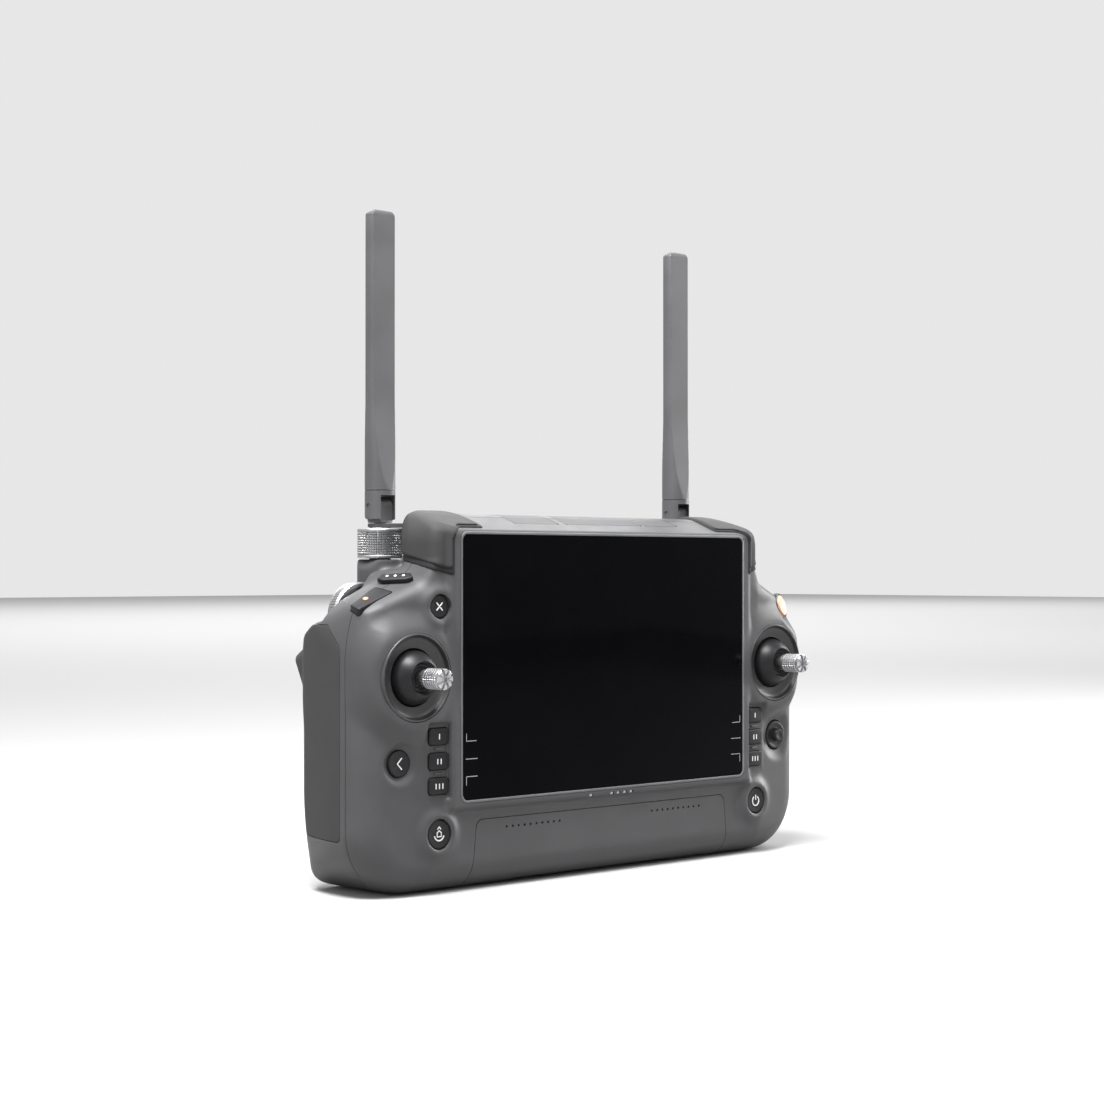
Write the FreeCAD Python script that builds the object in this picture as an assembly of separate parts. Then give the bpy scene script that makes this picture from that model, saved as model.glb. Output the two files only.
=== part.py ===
"""Handheld radio transmitter controller: a landscape touchscreen between two stick gimbals, with
rubber grips, corner bumpers, knurled dials and two folding blade antennas.

Every solid is modelled in millimetres with X to the right, Y backward and Z up. While modelling,
Y is measured from the face of the screen glass and Z from the flat base; export() then shifts Y so
that the origin lies under the middle of the whole object.
"""
import FreeCAD, Part
import math
import os
from FreeCAD import Matrix, Placement, Rotation, Vector

# ---- driving dimensions -------------------------------------------------------------------------
HALF_WIDTH = 134.0  # over the grips
DEPTH = 94.5  # stick tips to grip noses
CREST_Z = 155.0  # top of the casing
SHELF_Z = 149.3  # lower rear part of the top
WALL = 2.2  # front shell wall
REAR_WALL = 3.6
GAP = 0.25  # clearance round buttons and fitted covers
FACE_Y = 2.8  # front face of the wings
PART_Y = 16.4  # split between the front and rear shells
BACK_Y = 52.0  # rear face of the casing between the grips

GLASS_W, GLASS_H, GLASS_Z = 171.5, 108.7, 91.6  # cover glass and the height of its centre
GLASS_R = 2.6
BEZEL = 1.2  # visible width of the metal frame round the glass
PLATEAU_W, PLATEAU_Z0, PLATEAU_Z1 = 179.0, 34.0, 148.0  # raised flat round the screen

STICK_X, STICK_Z = 109.5, 88.1  # gimbal centres
PIVOT_Y = 5.3  # depth of the stick pivots
DOME_R = 11.4  # outer radius of the spherical dust shield
TIP_Y = -16.65  # front end of the stick caps
CAP_R = 4.2

ANT_X, ANT_Y = 91.0, 47.0  # common axis of antenna, dial and post
PIN_Z = 158.1  # antenna fold axis
ANT_TOP_Z = 282.9
ANT_R = 6.45  # round foot of the antenna
BLADE_T = 5.2  # blade thickness
POST_R, POST_Z = 9.6, 135.8
DIAL_R, DIAL_Z0, DIAL_Z1 = 9.6, 136.2, 148.9
SLEEVE_R, SHAFT_R = 4.5, 2.5
RUNNING = 0.05  # radial clearance of shafts in their bores
ARM_Z1 = 150.9

WHEEL_X, WHEEL_Z, WHEEL_R = 106.8, 112.4, 13.9
WHEEL_Y0, WHEEL_Y1 = 39.6, 45.2
SHOULDER_Y = 38.6  # rear wall of the shoulder, in front of the index wheel

KEY_X, KEY_PITCH, KEY_Z = 96.8, 10.05, 53.8  # column of three keys beside the screen
KEY_W, KEY_H, KEY_Y = 10.4, 6.9, 1.9
CHIN_HALF, CHIN_TOP = 75.6, 28.4

BODY_OUTLINE = [  # right half of the front view: X, Z and corner radius
    (134.0, 0.0, 27.0),
    (134.0, 109.5, 8.0),
    (127.0, 121.5, 8.0),
    (98.6, 134.0, 5.0),
    (98.6, CREST_Z, 13.0),
]
SIDES = {"left": -1, "right": 1}
DEPTH_CENTRE = TIP_Y + DEPTH / 2


# ---- profile helpers ----------------------------------------------------------------------------
def mirrored(half):
    """Closed outline from its right half, listed from bottom to top."""
    return half + [(-x, z, r) for x, z, r in reversed(half)]


def inset_points(points, d):
    """The outline moved inward by d. Points run anticlockwise."""
    n, out = len(points), []
    for i in range(n):
        (ax, ay, _), (bx, by, r), (cx, cy, _) = points[i - 1], points[i], points[(i + 1) % n]
        u = Vector(bx - ax, by - ay, 0).normalize()
        v = Vector(cx - bx, cy - by, 0).normalize()
        cross = u.x * v.y - u.y * v.x
        if abs(cross) < 1e-6:
            out.append((bx - u.y * d, by + u.x * d, r))
            continue
        k = d / cross
        radius = (max(r - d, 0.3) if cross > 0 else r + d) if r else 0.0
        out.append((bx + k * (v.x - u.x), by + k * (v.y - u.y), radius))
    return out


def wire_2d(points):
    """Closed wire in the XY plane with each corner rounded to its own radius."""
    n, ends, edges = len(points), [], []
    for i in range(n):
        (ax, ay, _), (bx, by, r), (cx, cy, _) = points[i - 1], points[i], points[(i + 1) % n]
        a, b, c = Vector(ax, ay, 0), Vector(bx, by, 0), Vector(cx, cy, 0)
        u, v = (a - b).normalize(), (c - b).normalize()
        angle = u.getAngle(v)
        if r < 1e-6 or abs(angle - math.pi) < 1e-4:
            ends.append((b, b, None))
            continue
        t = r / math.tan(angle / 2)
        middle = b + (u + v).normalize() * (r / math.sin(angle / 2) - r)
        ends.append((b + u * t, b + v * t, middle))
    for i in range(n):
        start, end, middle = ends[i]
        if middle is not None:
            edges.append(Part.Arc(start, middle, end).toShape())
        following = ends[(i + 1) % n][0]
        if (following - end).Length > 1e-6:
            edges.append(Part.LineSegment(end, following).toShape())
    return Part.Wire(edges)


PLANES = {  # profile plane -> rotation that stands it up, and the sense of its extrusion
    "xz": (Matrix(1, 0, 0, 0, 0, 0, -1, 0, 0, 1, 0, 0), -1),
    "xy": (Matrix(), 1),
    "yz": (Matrix(0, 0, 1, 0, 1, 0, 0, 0, 0, 1, 0, 0), 1),
}


def prism(plane, points, low, high):
    """Solid from a rounded outline, extruded across its plane from low to high."""
    matrix, sense = PLANES[plane]
    face = Part.Face(wire_2d(points))
    solid = face.extrude(Vector(0, 0, high - low))
    solid.translate(Vector(0, 0, low if sense > 0 else -high))
    return solid.transformed(matrix)


def rectangle(width, height, radius, u=0.0, v=0.0):
    w, h = width / 2, height / 2
    signs = ((-1, -1), (1, -1), (1, 1), (-1, 1))
    return [(u + a * w, v + b * h, radius) for a, b in signs]


def box(x0, x1, y0, y1, z0, z1):
    return Part.makeBox(x1 - x0, y1 - y0, z1 - z0, Vector(x0, y0, z0))


def rod(axis, radius, start, length, at=(0.0, 0.0)):
    """Cylinder along a row axis; at holds its other two coordinates in X, Y, Z order."""
    where = {"x": (start, at[0], at[1]), "y": (at[0], start, at[1]), "z": (at[0], at[1], start)}[axis]
    way = {"x": Vector(1, 0, 0), "y": Vector(0, 1, 0), "z": Vector(0, 0, 1)}[axis]
    return Part.makeCylinder(radius, length, Vector(*where), way)


def turned(profile):
    """Solid of revolution about the Y axis from (radius, y) points."""
    points = [Vector(r, y, 0) for r, y in profile]
    face = Part.Face(Part.makePolygon(points + [points[0]]))
    return face.revolve(Vector(0, 0, 0), Vector(0, 1, 0), 360)


def fuse(*solids):
    joined = solids[0].fuse(list(solids[1:])) if len(solids) > 1 else solids[0]
    return joined.removeSplitter()


def moved(shape, x=0.0, y=0.0, z=0.0):
    copy = shape.copy()
    copy.translate(Vector(x, y, z))
    return copy


def mirror_x(shape):
    return shape.mirror(Vector(0, 0, 0), Vector(1, 0, 0))


def for_side(shape, side):
    """A piece modelled on the right, as it is on the given side."""
    return shape if side > 0 else mirror_x(shape)


parts = {}


def export():
    os.makedirs("parts", exist_ok=True)
    for name, shape in parts.items():
        solids = [s for s in shape.Solids if s.Volume > 1e-3]
        out = Part.makeCompound(solids) if len(solids) > 1 else solids[0]
        out = moved(out, y=-DEPTH_CENTRE)
        bad = "" if out.isValid() else "  NOT VALID"
        print(f"{name:24s} solids {len(solids)}  volume {out.Volume / 1000:8.2f} cm3{bad}")
        out.exportStep(os.path.join("parts", name + ".step"))


# ---- casing envelopes ---------------------------------------------------------------------------
FRONT_PLAN = [(100.0, FACE_Y, 60.0), (HALF_WIDTH, 6.2, 13.0)]  # right half from above: X, Y, radius
CASING_PROFILE = [  # side view: Y, Z and corner radius
    (FACE_Y, 0.0, 15.0),
    (40.0, 0.0, 0.0),
    (40.0, SHELF_Z, 0.0),
    (29.0, SHELF_Z, 2.0),
    (28.0, CREST_Z, 2.0),
    (20.5, CREST_Z, 3.0),
    (FACE_Y, 148.5, 2.0),
]
REAR_PROFILE = [
    (10.0, 0.0, 0.0),
    (BACK_Y, 0.0, 14.0),
    (BACK_Y, SHELF_Z, 3.0),
    (29.0, SHELF_Z, 2.0),
    (28.0, CREST_Z, 2.0),
    (10.0, CREST_Z, 0.0),
]
HUMP_PLAN = [(98.6, 10.0, 0.0), (98.6, 22.0, 8.0), (72.0, BACK_Y, 8.0)]
GRIP_PLAN = [
    (70.0, 10.0, 0.0),
    (HALF_WIDTH, 10.0, 0.0),
    (HALF_WIDTH, 22.0, 6.0),
    (131.0, 46.5, 14.0),
    (122.0, 62.0, 9.0),
    (99.0, 62.0, 12.0),
    (84.0, 58.5, 8.0),
    (77.0, 49.0, 6.0),
    (70.0, 49.0, 0.0),
]
NOSE_Y = TIP_Y + DEPTH
GRIP_PROFILE = [
    (10.0, 0.0, 0.0),
    (50.0, 0.0, 22.0),
    (62.0, 22.0, 20.0),
    (62.0, 78.0, 8.0),
    (NOSE_Y, 91.0, 3.0),
    (NOSE_Y, 96.5, 2.5),
    (60.0, 103.5, 8.0),
    (44.0, 110.5, 4.0),
    (SHOULDER_Y, 110.5, 2.0),
    (SHOULDER_Y, 140.0, 0.0),
    (10.0, 140.0, 0.0),
]
NOSE_PLAN = [
    (97.0, 30.0, 5.0),
    (123.0, 30.0, 5.0),
    (123.0, 50.0, 10.0),
    (115.0, NOSE_Y, 6.0),
    (102.0, NOSE_Y, 6.0),
    (97.0, 50.0, 10.0),
]


def shoulder_slope(side):
    """Half space above the sloping top of one shoulder, rising towards the bumper and the back."""
    normal = Vector(side * 0.45, -0.30, 1.0)
    slab = Part.makeBox(90, 90, 60, Vector(-45, -45, 0))
    at = Vector(side * 125.0, 3.0, 115.2)
    slab.Placement = Placement(at, Rotation(Vector(0, 0, 1), normal))
    return slab.common(box(-150, 150, -10, 33, 100, 200)).cut(box(-98.6, 98.6, -10, 40, 100, 200))


def casing(inset=0.0, back=PART_Y):
    """The front of the casing down to a given depth, moved inward by an inset."""
    outline = prism("xz", inset_points(mirrored(BODY_OUTLINE), inset), -5, back)
    plan = prism("xy", inset_points(mirrored(FRONT_PLAN + [(HALF_WIDTH, 45.0, 0.0)]), inset), -10, 200)
    profile = prism("yz", inset_points(CASING_PROFILE, inset), -140, 140)
    shape = outline.common(plan).common(profile)
    slopes = [moved(shoulder_slope(side), z=-1.15 * inset) for side in SIDES.values()]
    return shape.cut(slopes)


def rear_envelope(inset=0.0):
    """Everything behind the split: the middle of the casing, both grips and the dial posts."""
    outline = prism("xz", inset_points(mirrored(BODY_OUTLINE), inset), PART_Y, 90)
    profile = prism("yz", inset_points(REAR_PROFILE, inset), -140, 140)
    hump = prism("xy", inset_points(mirrored(HUMP_PLAN), inset), -5, 200)
    middle = outline.common(profile).common(hump)
    grip_plan = prism("xy", inset_points(GRIP_PLAN, inset), -5, 200)
    nose_plan = prism("xy", inset_points(NOSE_PLAN, inset), -5, 200)
    grip_profile = prism("yz", inset_points(GRIP_PROFILE, inset), 0, 140)
    grip = fuse(grip_plan, nose_plan).common(outline).common(grip_profile)
    grip = grip.cut(moved(shoulder_slope(1), z=-1.15 * inset))
    post = rod("z", POST_R - inset, 98.0, POST_Z - inset - 98.0, (ANT_X, ANT_Y))
    right = fuse(grip, post)
    return fuse(middle, right, mirror_x(right))


# ---- screen -------------------------------------------------------------------------------------
def screen_plate(width, height, radius, y0, y1):
    return prism("xz", rectangle(width, height, radius, 0, GLASS_Z), y0, y1)


def make_screen():
    glass_y = 1.1
    parts["screen_glass"] = screen_plate(GLASS_W, GLASS_H, GLASS_R, 0.0, glass_y)
    rim = screen_plate(GLASS_W + 2 * BEZEL, GLASS_H + 2 * BEZEL, GLASS_R + BEZEL, -0.15, 4.0)
    seat = screen_plate(GLASS_W + 0.2, GLASS_H + 0.2, GLASS_R, -1.0, glass_y)
    window = screen_plate(GLASS_W - 10.0, GLASS_H - 6.0, 2.0, -1.0, 6.0)
    parts["screen_bezel"] = rim.cut(seat).cut(window)
    panel = screen_plate(158.0, 100.0, 2.0, glass_y, 4.4)
    tray = screen_plate(160.0, 102.0, 2.0, 4.4, 6.0)
    parts["display_module"] = fuse(panel, tray)


# ---- where the controls sit ---------------------------------------------------------------------
ROUND_BUTTONS = {  # X, depth of the face, Z, radius, height of the raised collar
    "back_button": (-115.2, 4.8, 53.7, 5.4, 0.0),
    "home_button": (-97.0, 1.7, 24.3, 6.0, 1.0),
    "power_button": (97.0, 1.7, 24.3, 6.0, 1.0),
    "function_button": (-96.6, 2.0, 116.5, 4.9, 0.8),
}
FIVE_WAY_X, FIVE_WAY_Z, FIVE_WAY_Y, FIVE_WAY_R = 115.2, 53.7, 10.5, 6.6
KEYS = {
    f"{side}_key_{row + 2}": (sign * KEY_X, KEY_Z - row * KEY_PITCH)
    for side, sign in SIDES.items()
    for row in (-1, 0, 1)
}

SHOULDER = {  # centre of the outer face, outward direction and long direction
    "pause_button": (Vector(-122.6, 15.0, 120.2), Vector(-0.45, -0.30, 1.0), Vector(1.0, -0.15, 0.45)),
    "mode_slider": (Vector(-108.3, 16.0, 128.4), Vector(-0.45, -0.30, 1.0), Vector(1.0, -1.25, 0.05)),
    "record_button": (Vector(124.6, 8.6, 114.6), Vector(0.38, -0.89, 0.26), Vector(0.0, 0.4, 0.9)),
}
SLIDER_HALF = [(5.0, -2.8, 1.2), (7.6, -1.2, 0.8), (6.0, 2.6, 1.0)]
PAUSE_SHAPE = [(-9.0, -4.4, 1.2), (9.3, -3.4, 1.4), (7.2, 6.0, 1.6), (-8.8, 1.6, 1.2)]


def local(name, shape):
    """A piece drawn facing +Z with its face at zero, turned to where that shoulder control is."""
    point, outward, along = SHOULDER[name]
    z = Vector(outward).normalize()
    y = z.cross(along).normalize()
    x = y.cross(z)
    matrix = Matrix(x.x, y.x, z.x, point.x, x.y, y.y, z.y, point.y, x.z, y.z, z.z, point.z)
    return shape.transformed(matrix)


def front_holes():
    """Every opening that a control needs in the front shell."""
    w, h = KEY_W + 2 * GAP, KEY_H + 2 * GAP
    holes = [prism("xz", rectangle(w, h, 1.7, x, z), -2, 8) for x, z in KEYS.values()]
    holes += [rod("y", 18.0, -3, 20, (side * STICK_X, STICK_Z)) for side in SIDES.values()]
    holes += [rod("y", radius + GAP, -3, 14, (x, z)) for x, _, z, radius, _ in ROUND_BUTTONS.values()]
    holes.append(rod("y", FIVE_WAY_R + 0.6, -3, 14, (FIVE_WAY_X, FIVE_WAY_Z)))
    return holes + shoulder_holes()


def shoulder_holes():
    """Openings for the shoulder controls, which straddle the split between the shells."""
    return [
        local("pause_button", prism("xy", inset_points(PAUSE_SHAPE, -GAP), -7, 4)),
        local("mode_slider", prism("xy", rectangle(12.0, 3.6, 1.7), -8, 4)),
        local("record_button", rod("z", 5.0 + GAP, -8, 12)),
    ]


# ---- front shell and chin -----------------------------------------------------------------------
LIGHTS = [-11.8, 0.9, 4.9, 8.9, 12.9]  # one status light and four charge lights
LIGHT_Z = 34.4
SOUND_HOLES, SOUND_PITCH, SOUND_X, SOUND_Z = 10, 3.4, 28.4, 24.5


def chin_zone(grow, back):
    half, low = CHIN_HALF + grow, 79.0 + grow
    outline = mirrored([(low, -2.0, 0.0), (half, CHIN_TOP + grow, 3.5)])
    return prism("xz", outline, -3, back)


def plateau(low):
    middle = (PLATEAU_Z0 + PLATEAU_Z1) / 2
    return prism("xz", rectangle(PLATEAU_W, PLATEAU_Z1 - PLATEAU_Z0, 6.0, 0, middle), low, 8.0)


def make_front():
    outer = casing()
    collars = [
        rod("y", radius + 2.2, FACE_Y - raised, 3.0, (x, z))
        for x, _, z, radius, raised in ROUND_BUTTONS.values()
        if raised
    ]
    collars += [rod("y", 19.3, 0.6, 4.4, (side * STICK_X, STICK_Z)) for side in SIDES.values()]
    outer = fuse(outer, plateau(0.0), *collars)
    inner = casing(WALL, PART_Y + 1.0).common(box(-140, 140, FACE_Y + WALL, 40, -5, 200))
    inner = inner.fuse(screen_plate(164.0, 104.0, 3.0, 2.2, 10.0))
    frame_w, frame_h = GLASS_W + 2 * BEZEL + 0.2, GLASS_H + 2 * BEZEL + 0.2
    pocket = screen_plate(frame_w, frame_h, GLASS_R + BEZEL, -2.0, 4.0)
    shell = outer.cut([inner, pocket] + front_holes())
    sound = [
        rod("y", 0.55, -2, 14, (side * (SOUND_X + SOUND_PITCH * i), SOUND_Z))
        for side in SIDES.values()
        for i in range(SOUND_HOLES)
    ]
    chin = shell.common(chin_zone(0.0, PART_Y - 1.4)).cut(sound)
    parts["chin_cover"] = biggest(chin)
    lights = [prism("xz", rectangle(2.4, 1.3, 0.5, x, LIGHT_Z), -2, 8) for x in LIGHTS]
    shell = shell.cut([chin_zone(GAP, PART_Y - 1.4 + GAP)] + lights)
    parts["front_shell"] = biggest(shell)
    pipes = [prism("xz", rectangle(2.2, 1.1, 0.45, x, LIGHT_Z), 0.05, 6.6) for x in LIGHTS]
    parts["status_lights"] = Part.makeCompound(pipes)


def biggest(shape):
    return max(shape.Solids, key=lambda s: s.Volume)


# ---- rear shell, grip pads and bumpers ----------------------------------------------------------
PAD_T = 1.8
PAD_ZONE = [  # side view of the grip pads: Y, Z and corner radius
    (20.0, 22.4, 3.0),
    (90.0, 22.4, 0.0),
    (90.0, 109.0, 0.0),
    (32.0, 109.0, 3.0),
    (20.0, 100.0, 4.0),
]
PAD_X = 100.0
DOOR_W, DOOR_Z0, DOOR_Z1, DOOR_T = 118.0, 26.0, 104.0, 2.1
VENTS = [118.0, 122.5, 127.0, 131.5]
SCREWS = [(side * x, z) for side in (-1, 1) for x, z in ((66.0, 12.0), (66.0, 112.0))]
INSERTS = [(side * 22.0, z) for side in (-1, 1) for z in (12.5, 141.0)]
INSERT_R, INSERT_DEPTH = 2.1, 7.0
REAR_BUTTON_X, REAR_BUTTON_Z, REAR_BUTTON_R = 91.0, 80.0, 5.0
LATCH_W, LATCH_Z0, LATCH_Z1, LATCH_TRAVEL = 18.0, 106.6, 111.0, 2.0
HINGE_Y, HINGE_Z, HINGE_R = 50.85, 27.1, 0.75


def wheel_pocket():
    return rod("y", WHEEL_R + 0.6, WHEEL_Y0 - 0.5, WHEEL_Y1 - WHEEL_Y0 + 1.0, (WHEEL_X, WHEEL_Z))


def make_grip_pads():
    skin = rear_envelope().cut(rear_envelope(PAD_T)).common(prism("yz", PAD_ZONE, PAD_X, 140))
    pad = biggest(skin.cut(wheel_pocket()))
    parts["right_grip_pad"] = pad
    parts["left_grip_pad"] = mirror_x(pad)


BUMPER_ZONE = [  # front view of the right bumper: X, Z and corner radius
    (101.0, 157.0, 0.0),
    (101.0, 140.0, 0.0),
    (93.0, 131.5, 0.0),
    (66.0, 145.0, 0.0),
    (70.0, 157.0, 0.0),
]


def make_bumpers():
    zone = prism("xz", BUMPER_ZONE, 0.0, 30.0)
    band = casing(-1.3, 31.0).cut(casing(1.5, 32.0)).common(zone)
    bumper = biggest(band.cut(plateau(-2.0)))
    parts["right_bumper"] = bumper
    parts["left_bumper"] = mirror_x(bumper)
    for shell in ("front_shell", "rear_shell"):
        parts[shell] = biggest(parts[shell].cut([bumper, mirror_x(bumper)]))


def door_outline(grow, y0, y1):
    """Battery cover or its opening: square at the hinged bottom, rounded at the top."""
    half, low, high = DOOR_W / 2 + grow, DOOR_Z0 - grow, DOOR_Z1 + grow
    return prism("xz", mirrored([(half, low, 0.0), (half, high, 3.0)]), y0, y1)


def screw(xz):
    """Pan head with a hexagon-key hole and its threaded shank."""
    solid = fuse(rod("y", 1.5, 42.0, 8.0, xz), rod("y", 2.7, 49.0, 1.8, xz))
    return solid.cut(rod("y", 1.1, 50.0, 2, xz))


def make_rear():
    outer = rear_envelope()
    hollow = rear_envelope(REAR_WALL).fuse(box(-94, 94, PART_Y - 1, PART_Y + 5, 6, 146))
    shell = outer.cut(hollow.common(box(-140, 140, 0, 100, 0, 132)))
    shell = shell.cut(hollow.common(box(-90, 90, 0, 100, 120, 160)))
    pads = [parts["right_grip_pad"], parts["left_grip_pad"]]
    pocket = wheel_pocket()
    wheel_bore = rod("y", 2.0 + RUNNING, 30.0, 16.0, (WHEEL_X, WHEEL_Z))
    bore = rod("z", SLEEVE_R, 120.0, 30.0, (ANT_X, ANT_Y))
    button = rod("y", REAR_BUTTON_R + GAP, 50.0, 20.0, (REAR_BUTTON_X, REAR_BUTTON_Z))
    dial_room = rod("z", DIAL_R + 0.6, POST_Z, 20.0, (ANT_X, ANT_Y))
    sides = [pocket, wheel_bore, bore, button, dial_room]
    cuts = sides + [mirror_x(s) for s in sides] + pads
    cuts.append(door_outline(GAP, 44, 60))
    cuts += [box(-46, 46, 44, 60, z, z + 2.2) for z in VENTS]
    latch = LATCH_W / 2 + GAP
    cuts.append(box(-latch, latch, 44, 60, LATCH_Z0 - 0.4, LATCH_Z1 + LATCH_TRAVEL + 0.4))
    cuts.append(box(-3.3, 3.3, 44, 60, DOOR_Z1, LATCH_Z0))
    cuts += shoulder_holes()
    shell = shell.cut(cuts)
    bosses = [rod("y", 4.2, 43.0, 8.0, xz) for xz in INSERTS + SCREWS]
    shell = shell.fuse(bosses)
    holes = [rod("y", INSERT_R, BACK_Y - INSERT_DEPTH, 20, xz) for xz in INSERTS]
    for x, z in SCREWS:
        holes += [rod("y", 1.5, 40.0, 20, (x, z)), rod("y", 2.9, 49.0, 20, (x, z))]
    parts["rear_shell"] = biggest(shell.cut(holes))
    parts["case_screws"] = Part.makeCompound([screw(xz) for xz in SCREWS])


def make_rear_door():
    """Battery cover with its hinge pins and release latch, and the battery behind it."""
    plate = door_outline(0.0, BACK_Y - DOOR_T, BACK_Y)
    plate = plate.cut(box(-70, 70, 40, 60, 20, HINGE_Z))
    barrel = rod("x", 1.05, -52.0, 104.0, (HINGE_Y, HINGE_Z))
    ribs = [box(x - 1, x + 1, BACK_Y - DOOR_T - 1.2, BACK_Y - DOOR_T, 36, 98) for x in (-40, 0, 40)]
    knuckles = [rod("x", 1.05, x, 8.0, (HINGE_Y, HINGE_Z)) for x in (-59.0, 51.0)]
    plate = fuse(plate, barrel, *ribs, *knuckles)
    pins = rod("x", HINGE_R, -DOOR_W / 2 - 3.0, 7.0, (HINGE_Y, HINGE_Z))
    clear = rod("x", HINGE_R + RUNNING, -DOOR_W / 2 - 1.0, 5.3, (HINGE_Y, HINGE_Z))
    parts["battery_cover"] = biggest(plate.cut([clear, mirror_x(clear)]))
    parts["rear_shell"] = biggest(fuse(parts["rear_shell"], pins, mirror_x(pins)))
    face = rectangle(LATCH_W, LATCH_Z1 - LATCH_Z0, 1.2, 0, (LATCH_Z0 + LATCH_Z1) / 2)
    button = prism("xz", face, 49.0, BACK_Y - 0.1)
    ridges = [box(-6, 6, BACK_Y - 0.1, BACK_Y + 0.5, z, z + 0.6) for z in (107.8, 109.1)]
    parts["cover_latch"] = fuse(button, box(-3, 3, 49.0, 50.0, DOOR_Z1 + 0.8, LATCH_Z0 + 1), *ridges)
    parts["battery"] = prism("xz", rectangle(108.0, 62.0, 4.0, 0, 66.0), 22.0, 47.0)


# ---- buttons ------------------------------------------------------------------------------------
def make_keys():
    for name, (x, z) in KEYS.items():
        cap = prism("xz", rectangle(KEY_W, KEY_H, 1.4, x, z), KEY_Y, 6.2)
        flange = prism("xz", rectangle(KEY_W + 1.4, KEY_H + 1.6, 1.4, x, z), 5.3, 6.2)
        side = 1 if x > 0 else -1
        inside = box(side * 89.0 - 100 * (side < 0), side * 89.0 + 100 * (side > 0), 0, 10, 0, 200)
        parts[name] = fuse(cap, flange).common(inside)


def make_round_buttons():
    for name, (x, face, z, radius, _) in ROUND_BUTTONS.items():
        cap = rod("y", radius, face, 9.5 - face, (x, z))
        flange = rod("y", radius + 1.0, 8.4, 1.1, (x, z))
        parts[name] = fuse(cap, flange)


def make_five_way():
    """Thumb button: a cap that tilts both ways on a cradle, carried by a plunger that presses."""
    xz = (FIVE_WAY_X, FIVE_WAY_Z)
    y = FIVE_WAY_Y
    stem = fuse(rod("y", 2.9, 2.7, 2.6, xz), rod("y", 1.2, 7.0, 4.6, xz))
    cap = rod("y", FIVE_WAY_R, 5.2, 2.2, xz).fuse(stem)
    axle = rod("z", 0.5, FIVE_WAY_Z - 2.6, 5.2, (FIVE_WAY_X, y))
    parts["five_way_cap"] = fuse(cap, axle)
    ring = rod("y", 3.0, y - 1.0, 2.0, xz).cut(rod("y", 1.9, y - 2, 4, xz))
    pins = [rod("x", 0.5, FIVE_WAY_X + start, 1.6, (y, FIVE_WAY_Z)) for start in (-4.4, 2.8)]
    ring = fuse(ring, *pins)
    parts["five_way_cradle"] = ring.cut(rod("z", 0.55, FIVE_WAY_Z - 2.7, 5.4, (FIVE_WAY_X, y)))
    seat = rod("y", 4.9, y - 1.0, 3.6, xz).cut(rod("y", 3.4, y - 2, 4.0, xz))
    seat = seat.cut(rod("x", 0.55, FIVE_WAY_X - 4.5, 9.0, (y, FIVE_WAY_Z)))
    parts["five_way_plunger"] = seat.cut(rod("y", 2.2, y - 2, 3.9, xz))


def make_shoulder_controls():
    cap = prism("xy", PAUSE_SHAPE, -5.0, 0.0)
    parts["pause_button"] = local("pause_button", cap.fuse(rod("z", 1.1, -0.2, 0.5, (-1.5, 0.6))))
    grip = prism("xy", mirrored(SLIDER_HALF), -1.2, 0.6)
    stem = prism("xy", rectangle(5.4, 2.8, 1.0), -6.0, -1.0)
    parts["mode_slider"] = local("mode_slider", fuse(grip, stem))
    parts["record_button"] = local("record_button", rod("z", 5.0, -5.5, 5.5))


def make_rear_buttons():
    cap = rod("y", REAR_BUTTON_R, 53.2, 7.0, (REAR_BUTTON_X, REAR_BUTTON_Z))
    flange = rod("y", REAR_BUTTON_R + 0.7, 52.8, 1.0, (REAR_BUTTON_X, REAR_BUTTON_Z))
    cap = fuse(cap, flange)
    parts["right_rear_button"] = cap
    parts["left_rear_button"] = mirror_x(cap)


# ---- sticks -------------------------------------------------------------------------------------
def sphere_shell(outer, inner):
    return Part.makeSphere(outer).cut(Part.makeSphere(inner))


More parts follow.
